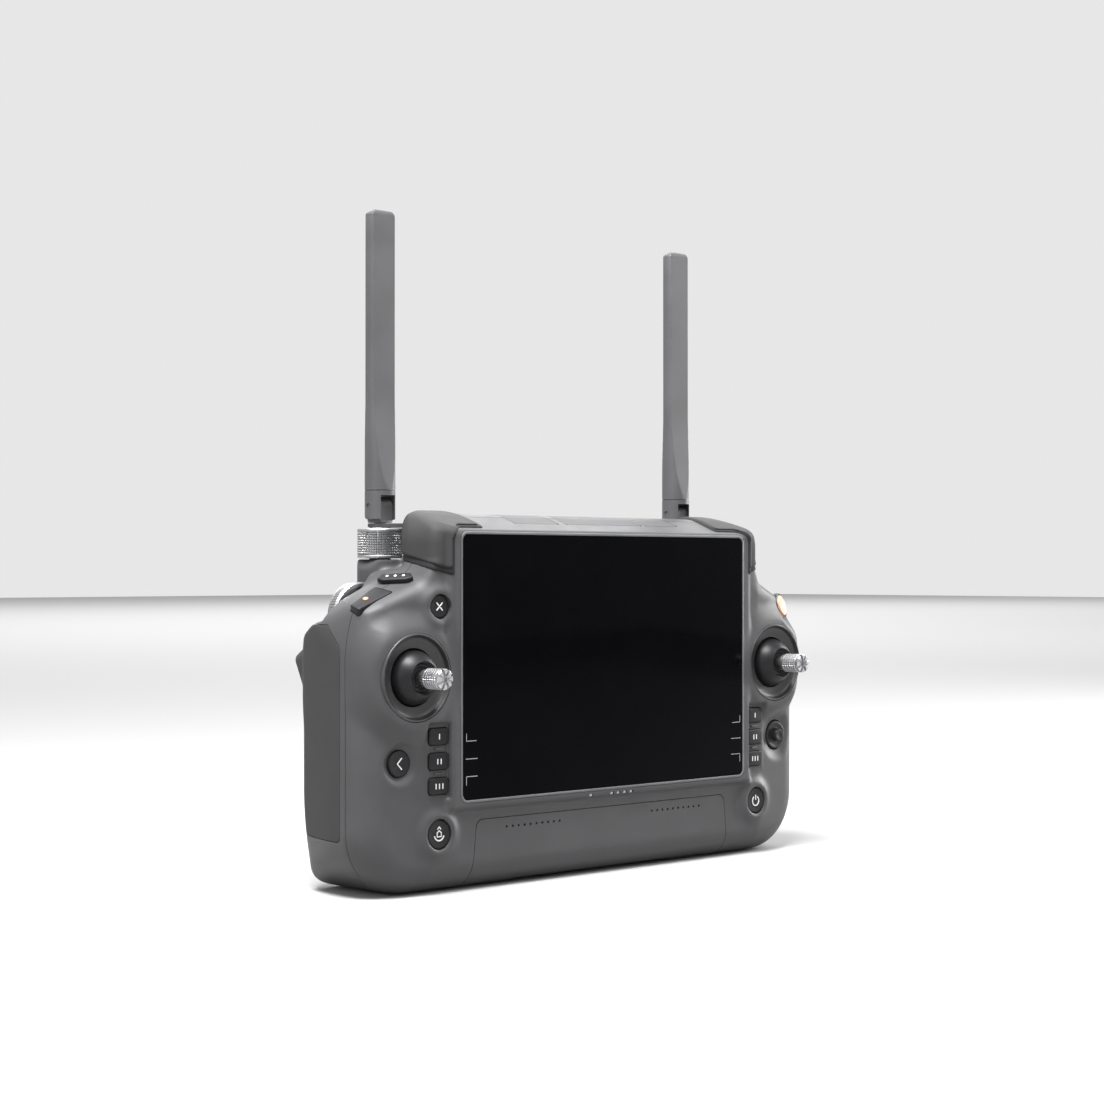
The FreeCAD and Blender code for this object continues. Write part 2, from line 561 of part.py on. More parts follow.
def make_stick(side, name):
    """One gimbal: a fixed housing with its dish, a yoke on the X axis and the stick on its Z axis."""
    x, z, pivot = side * STICK_X, STICK_Z, PIVOT_Y
    ring = rod("y", 17.9, 0.6, 9.0, (x, z)).cut(rod("y", 16.6, 0.0, 20.0, (x, z)))
    dish = rod("y", 17.5, 2.6, 0.9, (x, z)).cut(rod("y", DOME_R + 0.35, 0.0, 9.0, (x, z)))
    half, inner, back = 17.9, 16.6, pivot + 19.5
    case = box(x - half, x + half, 9.6, back, z - half, z + half)
    case = case.cut(box(x - inner, x + inner, 0, back - 1.2, z - inner, z + inner))
    bore = rod("x", 1.0 + RUNNING, x - 30, 60, (pivot, z))
    housing = fuse(ring, dish, case).cut(bore).cut(rod("y", inner, 3.5, 8.0, (x, z)))
    parts[f"{name}_gimbal_housing"] = biggest(housing.cut(parts["front_shell"]))

    inside = [x + s * 15.0 - 0.7 for s in (-1, 1)]
    arm = [box(a, a + 1.4, pivot, pivot + 16.0, z - 1.5, z + 1.5) for a in inside]
    ends = [rod("x", 1.5, a, 1.4, (pivot, z)) for a in inside]
    axles = [rod("x", 1.0, x + s * 16.5 - 1.1, 2.2, (pivot, z)) for s in (-1, 1)]
    bar = box(x - 15.7, x + 15.7, pivot + 14.4, pivot + 16.0, z - 1.5, z + 1.5)
    post = box(x - 1.6, x + 1.6, pivot + 1.0, pivot + 14.8, z - 1.5, z + 1.5)
    hub = rod("z", 2.0, z - 2.0, 4.0, (x, pivot))
    pin = rod("z", 0.9, z - 5.0, 10.0, (x, pivot))
    parts[f"{name}_yoke"] = fuse(bar, post, hub, pin, *arm, *ends, *axles)

    shell = sphere_shell(DOME_R, DOME_R - 1.2)
    shell = shell.cut(Part.makeBox(60, 40, 60, Vector(-30, 1.5, -30)))
    shell = shell.cut(rod("y", 6.9, -30, 30, (0, 0)))
    boot = turned([(0.0, -6.8), (3.2, -6.8), (7.6, -8.7), (7.6, -7.6), (3.2, -4.9), (0.0, -4.9)])
    boot = boot.cut(Part.makeSphere(40).cut(Part.makeSphere(DOME_R)))
    dome = moved(fuse(shell, boot), x, pivot, z)
    feet = [z + s * 3.5 - 1.2 for s in (-1, 1)]
    fork = [box(x - 2.2, x + 2.2, pivot - 5.2, pivot, foot, foot + 2.4) for foot in feet]
    eyes = [rod("z", 2.2, foot, 2.4, (x, pivot)) for foot in feet]
    carrier = fuse(box(x - 2.2, x + 2.2, pivot - 5.2, pivot - 2.5, z - 4.7, z + 4.7), *fork, *eyes)
    carrier = carrier.cut(rod("z", 0.9 + RUNNING, z - 10, 20, (x, pivot)))
    shaft = rod("y", 3.0, -9.0, pivot - 5.0 + 9.0, (x, z))
    parts[f"{name}_dome"] = dome.cut([shaft, carrier])
    crown = [(0.0, 0.0), (2.0, 0.0), (2.0, -1.2), (CAP_R - 0.5, -1.2), (CAP_R, -0.7)]
    cap = turned(crown + [(CAP_R, 9.0), (3.4, 11.0), (0.0, 11.0)])
    cap = moved(cap, x, TIP_Y + 1.2, z)
    notch = box(2.2, 6.0, -0.1, 1.1, -0.55, 0.55)
    turns = [notch.rotated(Vector(), Vector(0, 1, 0), 45 * i) for i in range(8)]
    cap = cap.cut([moved(turn, x, TIP_Y - 0.05, z) for turn in turns])
    parts[f"{name}_stick_shaft"] = biggest(fuse(shaft, carrier).cut(cap))
    parts[f"{name}_stick_cap"] = biggest(cap)


# ---- dials, index wheels and antennas -----------------------------------------------------------
def make_dial(side, name):
    sleeve = rod("z", SLEEVE_R, 124.0, ARM_Z1 - 124.0, (ANT_X, ANT_Y))
    sleeve = sleeve.cut(rod("z", SHAFT_R + RUNNING, 123.0, 40.0, (ANT_X, ANT_Y)))
    dial = rod("z", DIAL_R, DIAL_Z0, DIAL_Z1 - DIAL_Z0, (ANT_X, ANT_Y))
    edges = [e for e in dial.Edges if e.Curve.TypeId == "Part::GeomCircle"]
    dial = dial.makeChamfer(0.7, edges).cut(rod("z", SLEEVE_R + RUNNING, 130.0, 30.0, (ANT_X, ANT_Y)))
    parts[f"{name}_dial"] = for_side(dial, side)
    plan = [
        (62.0, 33.0, 0.0),
        (78.0, 33.0, 4.0),
        (91.5, 41.6, 5.0),
        (96.0, 44.0, 3.0),
        (96.0, 50.0, 3.0),
        (91.0, 52.0, 4.0),
        (76.0, 49.5, 4.0),
        (62.0, 49.5, 0.0),
    ]
    arm = prism("xy", plan, SHELF_Z, ARM_Z1).cut(rod("z", SLEEVE_R, 140.0, 20.0, (ANT_X, ANT_Y)))
    parts[f"{name}_antenna_bracket"] = for_side(fuse(arm, sleeve), side)


def make_wheel(side, name):
    """Sprung index wheel with its shaft running in the shoulder's rear wall."""
    rim = rod("y", WHEEL_R, WHEEL_Y0, WHEEL_Y1 - WHEEL_Y0, (WHEEL_X, WHEEL_Z))
    edges = [e for e in rim.Edges if e.Curve.TypeId == "Part::GeomCircle"]
    wheel = fuse(rim.makeChamfer(0.6, edges), rod("y", 2.0, 33.0, 7.0, (WHEEL_X, WHEEL_Z)))
    parts[f"{name}_index_wheel"] = for_side(wheel, side)


def make_antenna(side, name):
    """Swivel neck with its tab and pin, and the forked blade that folds on the pin."""
    z_low = PIN_Z - 5.6
    neck = rod("z", 5.0, ARM_Z1 + 0.3, 1.0, (ANT_X, ANT_Y))
    shaft = rod("z", SHAFT_R, 126.0, ARM_Z1 + 0.5 - 126.0, (ANT_X, ANT_Y))
    tab = box(ANT_X - 3.5, ANT_X + 3.5, ANT_Y - 4, ANT_Y + 4, ARM_Z1 + 0.8, PIN_Z)
    tab = fuse(tab, rod("x", 4.0, ANT_X - 3.5, 7.0, (ANT_Y, PIN_Z)))
    pin_r = 1.25
    pin = rod("x", pin_r, ANT_X - 6.0, 12.0, (ANT_Y, PIN_Z))
    parts[f"{name}_antenna_swivel"] = for_side(fuse(neck, shaft, tab, pin), side)
    t = BLADE_T / 2
    half = [(ANT_R, z_low, 0.0), (ANT_R, 165.0, 60.0), (t, 203.0, 90.0), (t, ANT_TOP_Z, 1.2)]
    slab = [(ANT_Y + y, z, r) for y, z, r in mirrored(half)]
    blade = rod("z", ANT_R, z_low, ANT_TOP_Z - z_low, (ANT_X, ANT_Y)).common(prism("yz", slab, 60, 120))
    swept = box(60, 120, ANT_Y, ANT_Y + 20, z_low - 1, PIN_Z + 5.4)
    swept = swept.cut(rod("x", 5.6, 60, 60, (ANT_Y, PIN_Z)))
    swept = swept.cut(box(60, 120, ANT_Y - 1, ANT_Y + 5.6, PIN_Z, PIN_Z + 6))
    edge = ANT_X + ANT_R
    corner = [(edge + 1, ANT_TOP_Z - 2, 0.0), (edge + 1, ANT_TOP_Z + 1, 0.0), (edge - 2, ANT_TOP_Z + 1, 0.0)]
    corner = prism("xz", corner, 30, 60)
    slot = box(ANT_X - 3.8, ANT_X + 3.8, 30, 60, z_low - 1, PIN_Z + 4.6)
    bore = rod("x", pin_r + RUNNING, 60, 60, (ANT_Y, PIN_Z))
    blade = blade.cut([swept, slot, bore, corner, mirror_about(corner, ANT_X)])
    parts[f"{name}_antenna_blade"] = for_side(biggest(blade), side)


def mirror_about(shape, x):
    return shape.mirror(Vector(x, 0, 0), Vector(1, 0, 0))


# ---- port covers and sockets --------------------------------------------------------------------
PORTS = {  # name: low X, high X, socket width and height
    "left": (-48.0, -22.5, 13.2, 4.6),
    "middle": (-18.0, 29.0, 15.0, 4.6),
    "right": (31.5, 52.0, 9.0, 3.2),
}
COVER_Y0, COVER_Y1, COVER_T = 9.6, 26.0, 1.6


def make_ports():
    """Three hinged flaps on the top, a tray under them and one socket in the tray for each."""
    skin = casing(0.0, 32.0).cut(casing(COVER_T, 33.0))
    top = box(-60, 60, 5, 28, 140, 160)
    trays, cuts, sockets = [], [], []
    for name, (x0, x1, width, height) in PORTS.items():
        middle = (x0 + x1) / 2
        outline = rectangle(x1 - x0, COVER_Y1 - COVER_Y0, 1.5, middle, (COVER_Y0 + COVER_Y1) / 2)
        flap = skin.common(top).common(prism("xy", outline, 130, 170))
        parts[f"port_cover_{name}"] = biggest(flap)
        cuts.append(box(x0 - GAP, x1 + GAP, COVER_Y0 - GAP, COVER_Y1 + GAP, 130, 170))
        slot = rectangle(width, height, 1.0, middle, 18.4)
        hole = rectangle(width - 0.9, height - 0.9, 0.7, middle, 18.4)
        tongue = rectangle(width - 3.4, 1.0, 0.4, middle, 18.4)
        shell = prism("xy", slot, 141.0, 149.6).cut(prism("xy", hole, 142.0, 152.0))
        sockets.append(fuse(shell, prism("xy", tongue, 141.5, 148.8)))
        trays.append(prism("xy", slot, 130, 170))
    parts["port_sockets"] = Part.makeCompound(sockets)
    tray = casing(COVER_T + 1.2, 33.0).common(box(-58, 58, 6.5, 27.5, 144.0, 148.2))
    parts["port_tray"] = biggest(tray.cut(trays))
    for shell in ("front_shell", "rear_shell"):
        parts[shell] = biggest(parts[shell].cut(cuts + [parts["port_tray"]]))


# ---- inside -------------------------------------------------------------------------------------
def make_inside():
    board = box(-62, 62, 9.6, 11.2, 34, 140)
    chips = [(-24, 6, 13.0, 84, 112), (18, 34, 12.6, 96, 112), (-50, -34, 12.6, 60, 76)]
    chips = [box(x0, x1, 11.2, y1, z0, z1) for x0, x1, y1, z0, z1 in chips]
    parts["main_board"] = fuse(board, *chips)
    base = box(-40, 41.2, 36.0, 38.0, 114, 134)
    fins = [box(-40 + 5 * i, -38.8 + 5 * i, 37.5, 46.0, 114, 134) for i in range(17)]
    parts["heat_sink"] = fuse(base, *fins)


make_screen()
make_front()
make_grip_pads()
make_rear()
make_bumpers()
make_ports()
make_keys()
make_round_buttons()
make_five_way()
make_shoulder_controls()
make_rear_buttons()
make_rear_door()
make_inside()
for side_name, sign in SIDES.items():
    make_stick(sign, side_name)
    make_dial(sign, side_name)
    make_wheel(sign, side_name)
    make_antenna(sign, side_name)
export()
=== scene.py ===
"""Looks of a handheld radio transmitter controller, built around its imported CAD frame.

Shapes are written in millimetres with X to the right, Y backward from the face of the screen glass
and Z up from the base, and put() turns them into metres in the frame's own axes.
"""

import math

import bmesh
import bpy
import numpy as np
import openvdb
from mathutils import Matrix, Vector


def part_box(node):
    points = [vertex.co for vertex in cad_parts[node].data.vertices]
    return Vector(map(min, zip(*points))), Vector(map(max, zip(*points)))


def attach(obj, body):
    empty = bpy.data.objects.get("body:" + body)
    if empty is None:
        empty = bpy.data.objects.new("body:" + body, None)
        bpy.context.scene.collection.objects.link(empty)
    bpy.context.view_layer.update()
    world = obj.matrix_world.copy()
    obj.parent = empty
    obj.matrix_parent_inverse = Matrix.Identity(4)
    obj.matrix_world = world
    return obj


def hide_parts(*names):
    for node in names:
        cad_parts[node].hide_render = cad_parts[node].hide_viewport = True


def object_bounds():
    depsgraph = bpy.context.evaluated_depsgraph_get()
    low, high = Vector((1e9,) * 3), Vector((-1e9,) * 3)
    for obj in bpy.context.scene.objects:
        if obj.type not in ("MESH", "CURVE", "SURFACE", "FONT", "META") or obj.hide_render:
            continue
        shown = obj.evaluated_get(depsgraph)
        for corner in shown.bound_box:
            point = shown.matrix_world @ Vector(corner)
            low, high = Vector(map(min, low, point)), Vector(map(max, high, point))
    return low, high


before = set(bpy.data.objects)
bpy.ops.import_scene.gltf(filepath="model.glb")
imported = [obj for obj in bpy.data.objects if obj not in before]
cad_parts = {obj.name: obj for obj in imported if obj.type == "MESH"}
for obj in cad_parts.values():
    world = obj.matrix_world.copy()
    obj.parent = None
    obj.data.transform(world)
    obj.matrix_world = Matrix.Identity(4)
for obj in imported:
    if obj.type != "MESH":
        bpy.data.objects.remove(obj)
CAD_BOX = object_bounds()
GLASS_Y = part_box("screen_glass")[0].y  # where the modelling Y starts, in the frame

# ---- driving dimensions, as in the CAD model, in millimetres --------------------------------------
GLASS_W, GLASS_H, GLASS_Z = 171.5, 108.7, 91.6
BEZEL = 1.2
FACE_Y, PART_Y, BACK_Y, CREST_Z, SHELF_Z = 2.8, 16.4, 52.0, 155.0, 149.3
STICK_X, STICK_Z, PIVOT_Y, TIP_Y, DOME_R, CAP_R = 109.5, 88.1, 5.3, -16.65, 11.4, 4.2
ANT_X, ANT_Y, PIN_Z, ANT_TOP_Z, ANT_R, BLADE_T = 91.0, 47.0, 158.1, 282.9, 6.45, 5.2
SEAM_Z = 165.0  # the seam between an antenna's fork and its blade
DIAL_R, DIAL_Z0, DIAL_Z1, POST_Z = 9.6, 136.2, 148.9, 135.8
WHEEL_X, WHEEL_Z, WHEEL_R, WHEEL_Y0, WHEEL_Y1 = 106.8, 112.4, 13.9, 39.6, 45.2
KEY_X, KEY_PITCH, KEY_Z, KEY_W, KEY_H, KEY_Y = 96.8, 10.05, 53.8, 10.4, 6.9, 1.9
CHIN_HALF, CHIN_TOP = 75.6, 28.4
RECORD_AT, RECORD_OUT = (124.6, 8.6, 114.6), (0.38, -0.89, 0.26)
SEAM = 0.14  # half the width of a seam between case pieces
VOXEL = 0.75
SIDES = {"left": -1, "right": 1}


def put(points):
    """Rows of millimetre points as metres in the frame."""
    p = np.asarray(points, float) * 0.001
    p[:, 1] += GLASS_Y
    return p


# ---- meshes ---------------------------------------------------------------------------------------
def piece(name, points, faces):
    """A new mesh object from millimetre points."""
    mesh = bpy.data.meshes.new(name)
    mesh.from_pydata(put(points).tolist(), [], faces)
    mesh.validate()
    obj = bpy.data.objects.new(name, mesh)
    bpy.context.scene.collection.objects.link(obj)
    return obj


def smooth(obj, angle=32.0):
    obj.data.polygons.foreach_set("use_smooth", [True] * len(obj.data.polygons))
    obj.data.set_sharp_from_angle(angle=math.radians(angle))
    return obj


def outward(obj):
    """Makes every face point out of its solid."""
    bm = bmesh.new()
    bm.from_mesh(obj.data)
    bmesh.ops.recalc_face_normals(bm, faces=bm.faces)
    bm.to_mesh(obj.data)
    bm.free()
    return obj


def rounded(points, steps=6):
    """A closed 2-D outline with each corner (u, v, radius) turned into an arc."""
    out = []
    n = len(points)
    for i in range(n):
        a, b, c = (Vector(points[k % n][:2]) for k in (i - 1, i, i + 1))
        r = points[i][2]
        u, v = (a - b).normalized(), (c - b).normalized()
        angle = u.angle(v)
        if r <= 0 or angle > math.pi - 1e-3:
            out.append(tuple(b))
            continue
        start = b + u * (r / math.tan(angle / 2))
        centre = b + (u + v).normalized() * (r / math.sin(angle / 2))
        spoke = start - centre
        turn = math.pi - angle
        if (u.x * v.y - u.y * v.x) > 0:
            turn = -turn
        for k in range(steps + 1):
            t = turn * k / steps
            ct, st = math.cos(t), math.sin(t)
            out.append((centre.x + spoke.x * ct - spoke.y * st, centre.y + spoke.x * st + spoke.y * ct))
    return out


def rectangle(width, height, radius, u=0.0, v=0.0):
    w, h = width / 2, height / 2
    return [(u - w, v - h, radius), (u + w, v - h, radius), (u + w, v + h, radius), (u - w, v + h, radius)]


def stand(plane, outline, depth):
    """2-D points at one depth across the plane xz, xy or yz."""
    if plane == "xz":
        return [(u, depth, v) for u, v in outline]
    if plane == "xy":
        return [(u, v, depth) for u, v in outline]
    return [(depth, u, v) for u, v in outline]


def loft(name, rings, cap=True):
    """Solid through rings that have the same number of points."""
    n = len(rings[0])
    points = [p for ring in rings for p in ring]
    faces = []
    for k in range(len(rings) - 1):
        for i in range(n):
            j = (i + 1) % n
            faces.append((k * n + i, k * n + j, (k + 1) * n + j, (k + 1) * n + i))
    if cap:
        faces.append(tuple(range(n))[::-1])
        faces.append(tuple(range((len(rings) - 1) * n, len(rings) * n)))
    return outward(piece(name, points, faces))


def prism(name, plane, points, low, high, steps=6):
    outline = rounded(points, steps)
    return loft(name, [stand(plane, outline, low), stand(plane, outline, high)])


def shrink(outline, centre, d):
    """An outline pulled towards its inside by about d."""
    n = len(outline)
    out = []
    for i in range(n):
        a, b, c = Vector(outline[i - 1]), Vector(outline[i]), Vector(outline[(i + 1) % n])
        normal = Vector((c.y - a.y, a.x - c.x))
        if normal.length < 1e-9:
            out.append(tuple(b))
            continue
        normal.normalize()
        if normal.dot(b - Vector(centre)) < 0:
            normal = -normal
        out.append(tuple(b - normal * d))
    return out


def cushion(name, plane, points, centre, low, high, edge, steps=8, rounds=4):
    """Prism whose edge at the low end is rounded, like a moulded key or button."""
    outline = rounded(points, steps)
    sign = 1 if high > low else -1
    rings = []
    for k in range(rounds + 1):
        t = math.pi / 2 * k / rounds
        inside = shrink(outline, centre, edge * (1 - math.sin(t)))
        rings.append(stand(plane, inside, low + sign * edge * (1 - math.cos(t))))
    rings.append(stand(plane, outline, high))
    return smooth(loft(name, rings))


def lathe(name, profile, turn, steps=64, ripple=None):
    """Solid of revolution: profile of (radius, height), and turn() that places (radius, angle, height)."""
    rings = []
    for r, h in profile:
        ring = []
        for i in range(steps):
            a = 2 * math.pi * i / steps
            d = ripple(r, h, a) if ripple else 0.0
            ring.append(turn((r - d) * math.cos(a), (r - d) * math.sin(a), h))
        rings.append(ring)
    return loft(name, rings)


def about(axis, x=0.0, y=0.0, z=0.0):
    """turn() for a lathe whose axis is Y or Z, through a millimetre point."""
    if axis == "y":
        return lambda u, v, h: (x + u, y + h, z + v)
    if axis == "x":
        return lambda u, v, h: (x + h, y + u, z + v)
    return lambda u, v, h: (x + u, y + v, z + h)


def join(objects):
    """One object from several that don't cross each other."""
    bm = bmesh.new()
    for o in objects:
        bm.from_mesh(o.data)
    mesh = bpy.data.meshes.new("joined")
    bm.to_mesh(mesh)
    bm.free()
    first = objects[0]
    first.data = mesh
    for o in objects[1:]:
        bpy.data.objects.remove(o)
    return first


def boolean(obj, cutter, operation="DIFFERENCE"):
    """obj with the cutter taken away, or kept, and the cutter removed."""
    modifier = obj.modifiers.new("boolean", "BOOLEAN")
    modifier.operation = operation
    modifier.solver = "MANIFOLD"
    modifier.object = cutter
    graph = bpy.context.evaluated_depsgraph_get()
    mesh = bpy.data.meshes.new_from_object(obj.evaluated_get(graph))
    obj.modifiers.clear()
    obj.data = mesh
    bpy.data.objects.remove(cutter)
    return obj


def copy_of(obj, name):
    twin = bpy.data.objects.new(name, obj.data.copy())
    bpy.context.scene.collection.objects.link(twin)
    return twin


# ---- the case as a smooth field -------------------------------------------------------------------
def meet(a, b, r):
    """Intersection of two fields with an edge rounded to radius r."""
    u, v = np.maximum(a + r, 0), np.maximum(b + r, 0)
    return np.minimum(np.maximum(a, b), -r) + np.sqrt(u * u + v * v)


def blend(a, b, r):
    """Union of two fields with a fillet of radius r. Their surfaces must not coincide."""
    u, v = np.maximum(r - a, 0), np.maximum(r - b, 0)
    return np.maximum(np.minimum(a, b), r) - np.sqrt(u * u + v * v)


def step(t):
    t = np.clip(t, 0, 1)
    return t * t * (3 - 2 * t)


def hill(distance, centre, width):
    """Smooth bump of height 1 round a distance."""
    return np.exp(-(((distance - centre) / width) ** 2))


def face_depth(x, z):
    """Depth of the front face under each X and Z: wings, screen flat, collars and dishes."""
    ax = np.abs(x)
    wing = FACE_Y + 0.1 * np.maximum(ax - 100, 0)
    across = step((94.5 - ax) / 4.5)
    up = step((z - 31.5) / 3.5)
    face = wing * (1 - across * up)
    stick = np.hypot(ax - STICK_X, z - STICK_Z)
    face = face + (0.5 - face) * step((29.0 - stick) / 9.5)
    face = face + 1.5 * hill(np.hypot((ax - 114) / 1.9, z - 112.5), 0, 7.0) * (1 - across)
    dish = np.hypot(ax - 115.2, z - 53.7)
    face = face + 1.9 * step((13.0 - dish) / 6.5)
    halo = np.hypot(ax - 97.0, z - 24.3)
    face = face - 2.0 * hill(halo, 7.4, 3.0) + 1.1 * step((6.8 - halo) / 1.5)
    round_key = np.hypot(x + 96.6, z - 116.5)
    face = face - 1.8 * hill(round_key, 6.2, 2.8) * (1 - across)
    back_key = np.hypot(x + 115.2, z - 53.7)
    face = face - 1.6 * hill(back_key, 8.6, 2.4)
    pocket = step((KEY_X + KEY_W / 2 + 2.0 - ax) / 1.4) * step((ax - KEY_X + KEY_W / 2 + 0.8) / 0.8)
    pocket = pocket * step((KEY_PITCH + KEY_H / 2 + 2.6 - np.abs(z - KEY_Z)) / 1.6)
    return face + (2.9 - face) * pocket


def plane(a, b, point, n):
    """Signed distance to a line through a point, with an outward normal."""
    length = math.hypot(*n)
    return ((a - point[0]) * n[0] + (b - point[1]) * n[1]) / length


def case_field(x, y, z):
    """Distance-like field of the whole case, negative inside."""
    ax = np.abs(x)
    face = face_depth(x, z) - y
    low = meet(ax - 134, -z, 27)
    behind = z + 0.33 * np.clip(y - 20, 0, 18) * step((ax - 101) / 9)
    low = meet(low, plane(ax, behind, (134.0, 109.5), (12.0, 7.0)), 7)
    low = meet(low, plane(ax, behind, (127.0, 121.5), (12.5, 28.4)), 7)
    low = meet(low, z - 133.0, 4)
    up = meet(meet(ax - 98.6, z - CREST_Z, 13), 100.0 - z, 4)
    outline = blend(low, up, 6)
    edge = 13 - 9 * step((z - 122) / 14)
    front = meet(face, outline, edge)
    slope = (z - (115.2 + 0.45 * (125 - ax) + 0.30 * (y - 3))) / 1.137
    front = meet(front, blend(slope, ax - 100.6, 5), 2.5)
    dx, dy, dz = x - RECORD_AT[0], y - RECORD_AT[1], z - RECORD_AT[2]
    along = dx * RECORD_OUT[0] + dy * RECORD_OUT[1] + dz * RECORD_OUT[2]
    away = np.sqrt(np.maximum(dx**2 + dy**2 + dz**2 - along**2, 0))
    front = meet(front, along + 1.6 - 0.6 * np.maximum(away - 5.5, 0), 1.5)
    front = meet(front, plane(y, z, (FACE_Y, 148.5), (-6.5, 17.7)), 1.6)

    middle = meet(y - BACK_Y, -z, 15)
    middle = meet(middle, plane(ax, y, (98.6, 22.0), (30.0, 26.6)), 8)
    middle = meet(middle, np.minimum(z - SHELF_Z, y - 28.3), 1.2)
    grip = meet(plane(ax, y, (134.0, 22.0), (24.0, 3.0)), plane(ax, y, (131.5, 47.0), (16.0, 9.0)), 12)
    grip = meet(grip, y - 62.6, 9)
    grip = meet(grip, plane(ax, y, (77.0, 49.0), (-9.5, 7.0)), 7)
    grip = meet(grip, plane(y, z, (54.0, 0.0), (20.0, -9.0)), 14)
    top = meet(plane(y, z, (44.0, 110.5), (7.0, 16.0)), z - 110.5, 3)
    grip = meet(grip, np.minimum(top, y - 38.6), 2.0)
    grip = meet(grip, z - 131.0, 3)
    nose = meet(plane(y, z, (77.85, 96.0), (7.0, 17.0)), plane(y, z, (77.85, 91.6), (15.9, -13.0)), 2.0)
    nose = meet(nose, y - 77.85, 2.4)
    nose = meet(nose, np.abs(ax - 108.5) - 13.5 + 0.28 * (y - 50), 6)
    grip = blend(grip, nose, 6)
    post = np.hypot(ax - ANT_X, y - ANT_Y) - DIAL_R
    post = meet(post, np.maximum(z - POST_Z, 96 - z), 0.6)
    grip = blend(grip, post, 3.5)
    back = blend(middle, grip, 5)
    return meet(front, back, 2.0)


def sample(field, low, high, voxel):
    """The field on a regular grid, filled in slices along X."""
    axes = [np.arange(a, b + voxel, voxel, dtype=np.float32) for a, b in zip(low, high)]
    values = np.empty([len(a) for a in axes], np.float32)
    y, z = axes[1][None, :, None], axes[2][None, None, :]
    for i in range(0, len(axes[0]), 48):
        values[i : i + 48] = field(axes[0][i : i + 48, None, None], y, z)
    return values


def surface(name, values, low, voxel, level=0.0):
    """Closed mesh of one level of a sampled field."""
    grid = openvdb.FloatGrid(100.0)
    grid.copyFromArray(np.clip(values, -4 * voxel, 4 * voxel))
    points, _, quads = grid.convertToPolygons(isovalue=level, adaptivity=0.0)
    return outward(piece(name, points * voxel + np.array(low), quads.tolist()))


# ---- materials ------------------------------------------------------------------------------------
def finish(name, colour, rough, metal=0.0, spread=0.12, grain=2600.0, bump=0.25, depth=0.00006, wear_and_highlight=0.25,
           coat=0.0, specular=0.5, rough_spread=0.12):
    """Procedural surface: mottled colour, grained bump, uneven gloss and paler edges that are partly wear and
    partly a painted highlight.
    """
    material = bpy.data.materials.new(name)
    material.use_nodes = True
    nodes, links = material.node_tree.nodes, material.node_tree.links
    shader = nodes["Principled BSDF"]
    shader.inputs["Metallic"].default_value = metal
    shader.inputs["Coat Weight"].default_value = coat
    shader.inputs["Coat Roughness"].default_value = 0.15
    shader.inputs["Specular IOR Level"].default_value = specular
    where = nodes.new("ShaderNodeTexCoord").outputs["Object"]

    def noise(scale, detail, roughness=0.55):
        n = nodes.new("ShaderNodeTexNoise")
        n.inputs["Scale"].default_value = scale
        n.inputs["Detail"].default_value = detail
        n.inputs["Roughness"].default_value = roughness
        links.new(where, n.inputs["Vector"])
        return n.outputs["Fac"]

    def span(value, low, high, out_low, out_high):
        n = nodes.new("ShaderNodeMapRange")
        links.new(value, n.inputs["Value"])
        for key, v in (("From Min", low), ("From Max", high), ("To Min", out_low), ("To Max", out_high)):
            n.inputs[key].default_value = v
        return n.outputs["Result"]

    def mix(factor, a, b):
        n = nodes.new("ShaderNodeMix")
        n.data_type = "RGBA"
        links.new(factor, n.inputs[0])
        for socket, value in ((n.inputs[6], a), (n.inputs[7], b)):
            if isinstance(value, tuple):
                socket.default_value = (*value, 1.0)
            else:
                links.new(value, socket)
        return n.outputs[2]

    broad, fine = noise(55.0, 5), noise(grain, 3, 0.7)
    dark = tuple(c * (1 - spread) for c in colour)
    pale = tuple(min(1.0, c * (1 + spread)) for c in colour)
    tone = mix(span(broad, 0.35, 0.65, 0.0, 1.0), dark, pale)
    speck = mix(span(fine, 0.3, 0.7, 0.0, 1.0), tuple(c * 0.88 for c in colour), pale)
    blend_node = nodes.new("ShaderNodeMix")
    blend_node.data_type = "RGBA"
    blend_node.inputs[0].default_value = 0.4
    links.new(tone, blend_node.inputs[6])
    links.new(speck, blend_node.inputs[7])
    tone = blend_node.outputs[2]
    # paler convex edges: partly wear, partly a painted highlight along every edge
    if wear_and_highlight > 0:
        edge = span(nodes.new("ShaderNodeNewGeometry").outputs["Pointiness"], 0.53, 0.62, 0.0, wear_and_highlight)
        worn_and_highlit_edge = nodes.new("ShaderNodeMath")
        worn_and_highlit_edge.operation = "MULTIPLY"
        links.new(edge, worn_and_highlit_edge.inputs[0])
        links.new(span(noise(240.0, 3), 0.35, 0.6, 0.0, 1.0), worn_and_highlit_edge.inputs[1])
        tone = mix(worn_and_highlit_edge.outputs[0], tone, tuple(min(1.0, c * 1.9 + 0.03) for c in colour))
    links.new(tone, shader.inputs["Base Color"])
    gloss = span(broad, 0.3, 0.7, rough - rough_spread / 2, rough + rough_spread / 2)
    links.new(gloss, shader.inputs["Roughness"])
    if bump > 0:
        n = nodes.new("ShaderNodeBump")
        n.inputs["Strength"].default_value = bump
        n.inputs["Distance"].default_value = depth
        links.new(fine, n.inputs["Height"])
        links.new(n.outputs["Normal"], shader.inputs["Normal"])
    return material


def glowing(material, strength, colour):
    shader = material.node_tree.nodes["Principled BSDF"]
    shader.inputs["Emission Color"].default_value = (*colour, 1.0)
    shader.inputs["Emission Strength"].default_value = strength
    return material


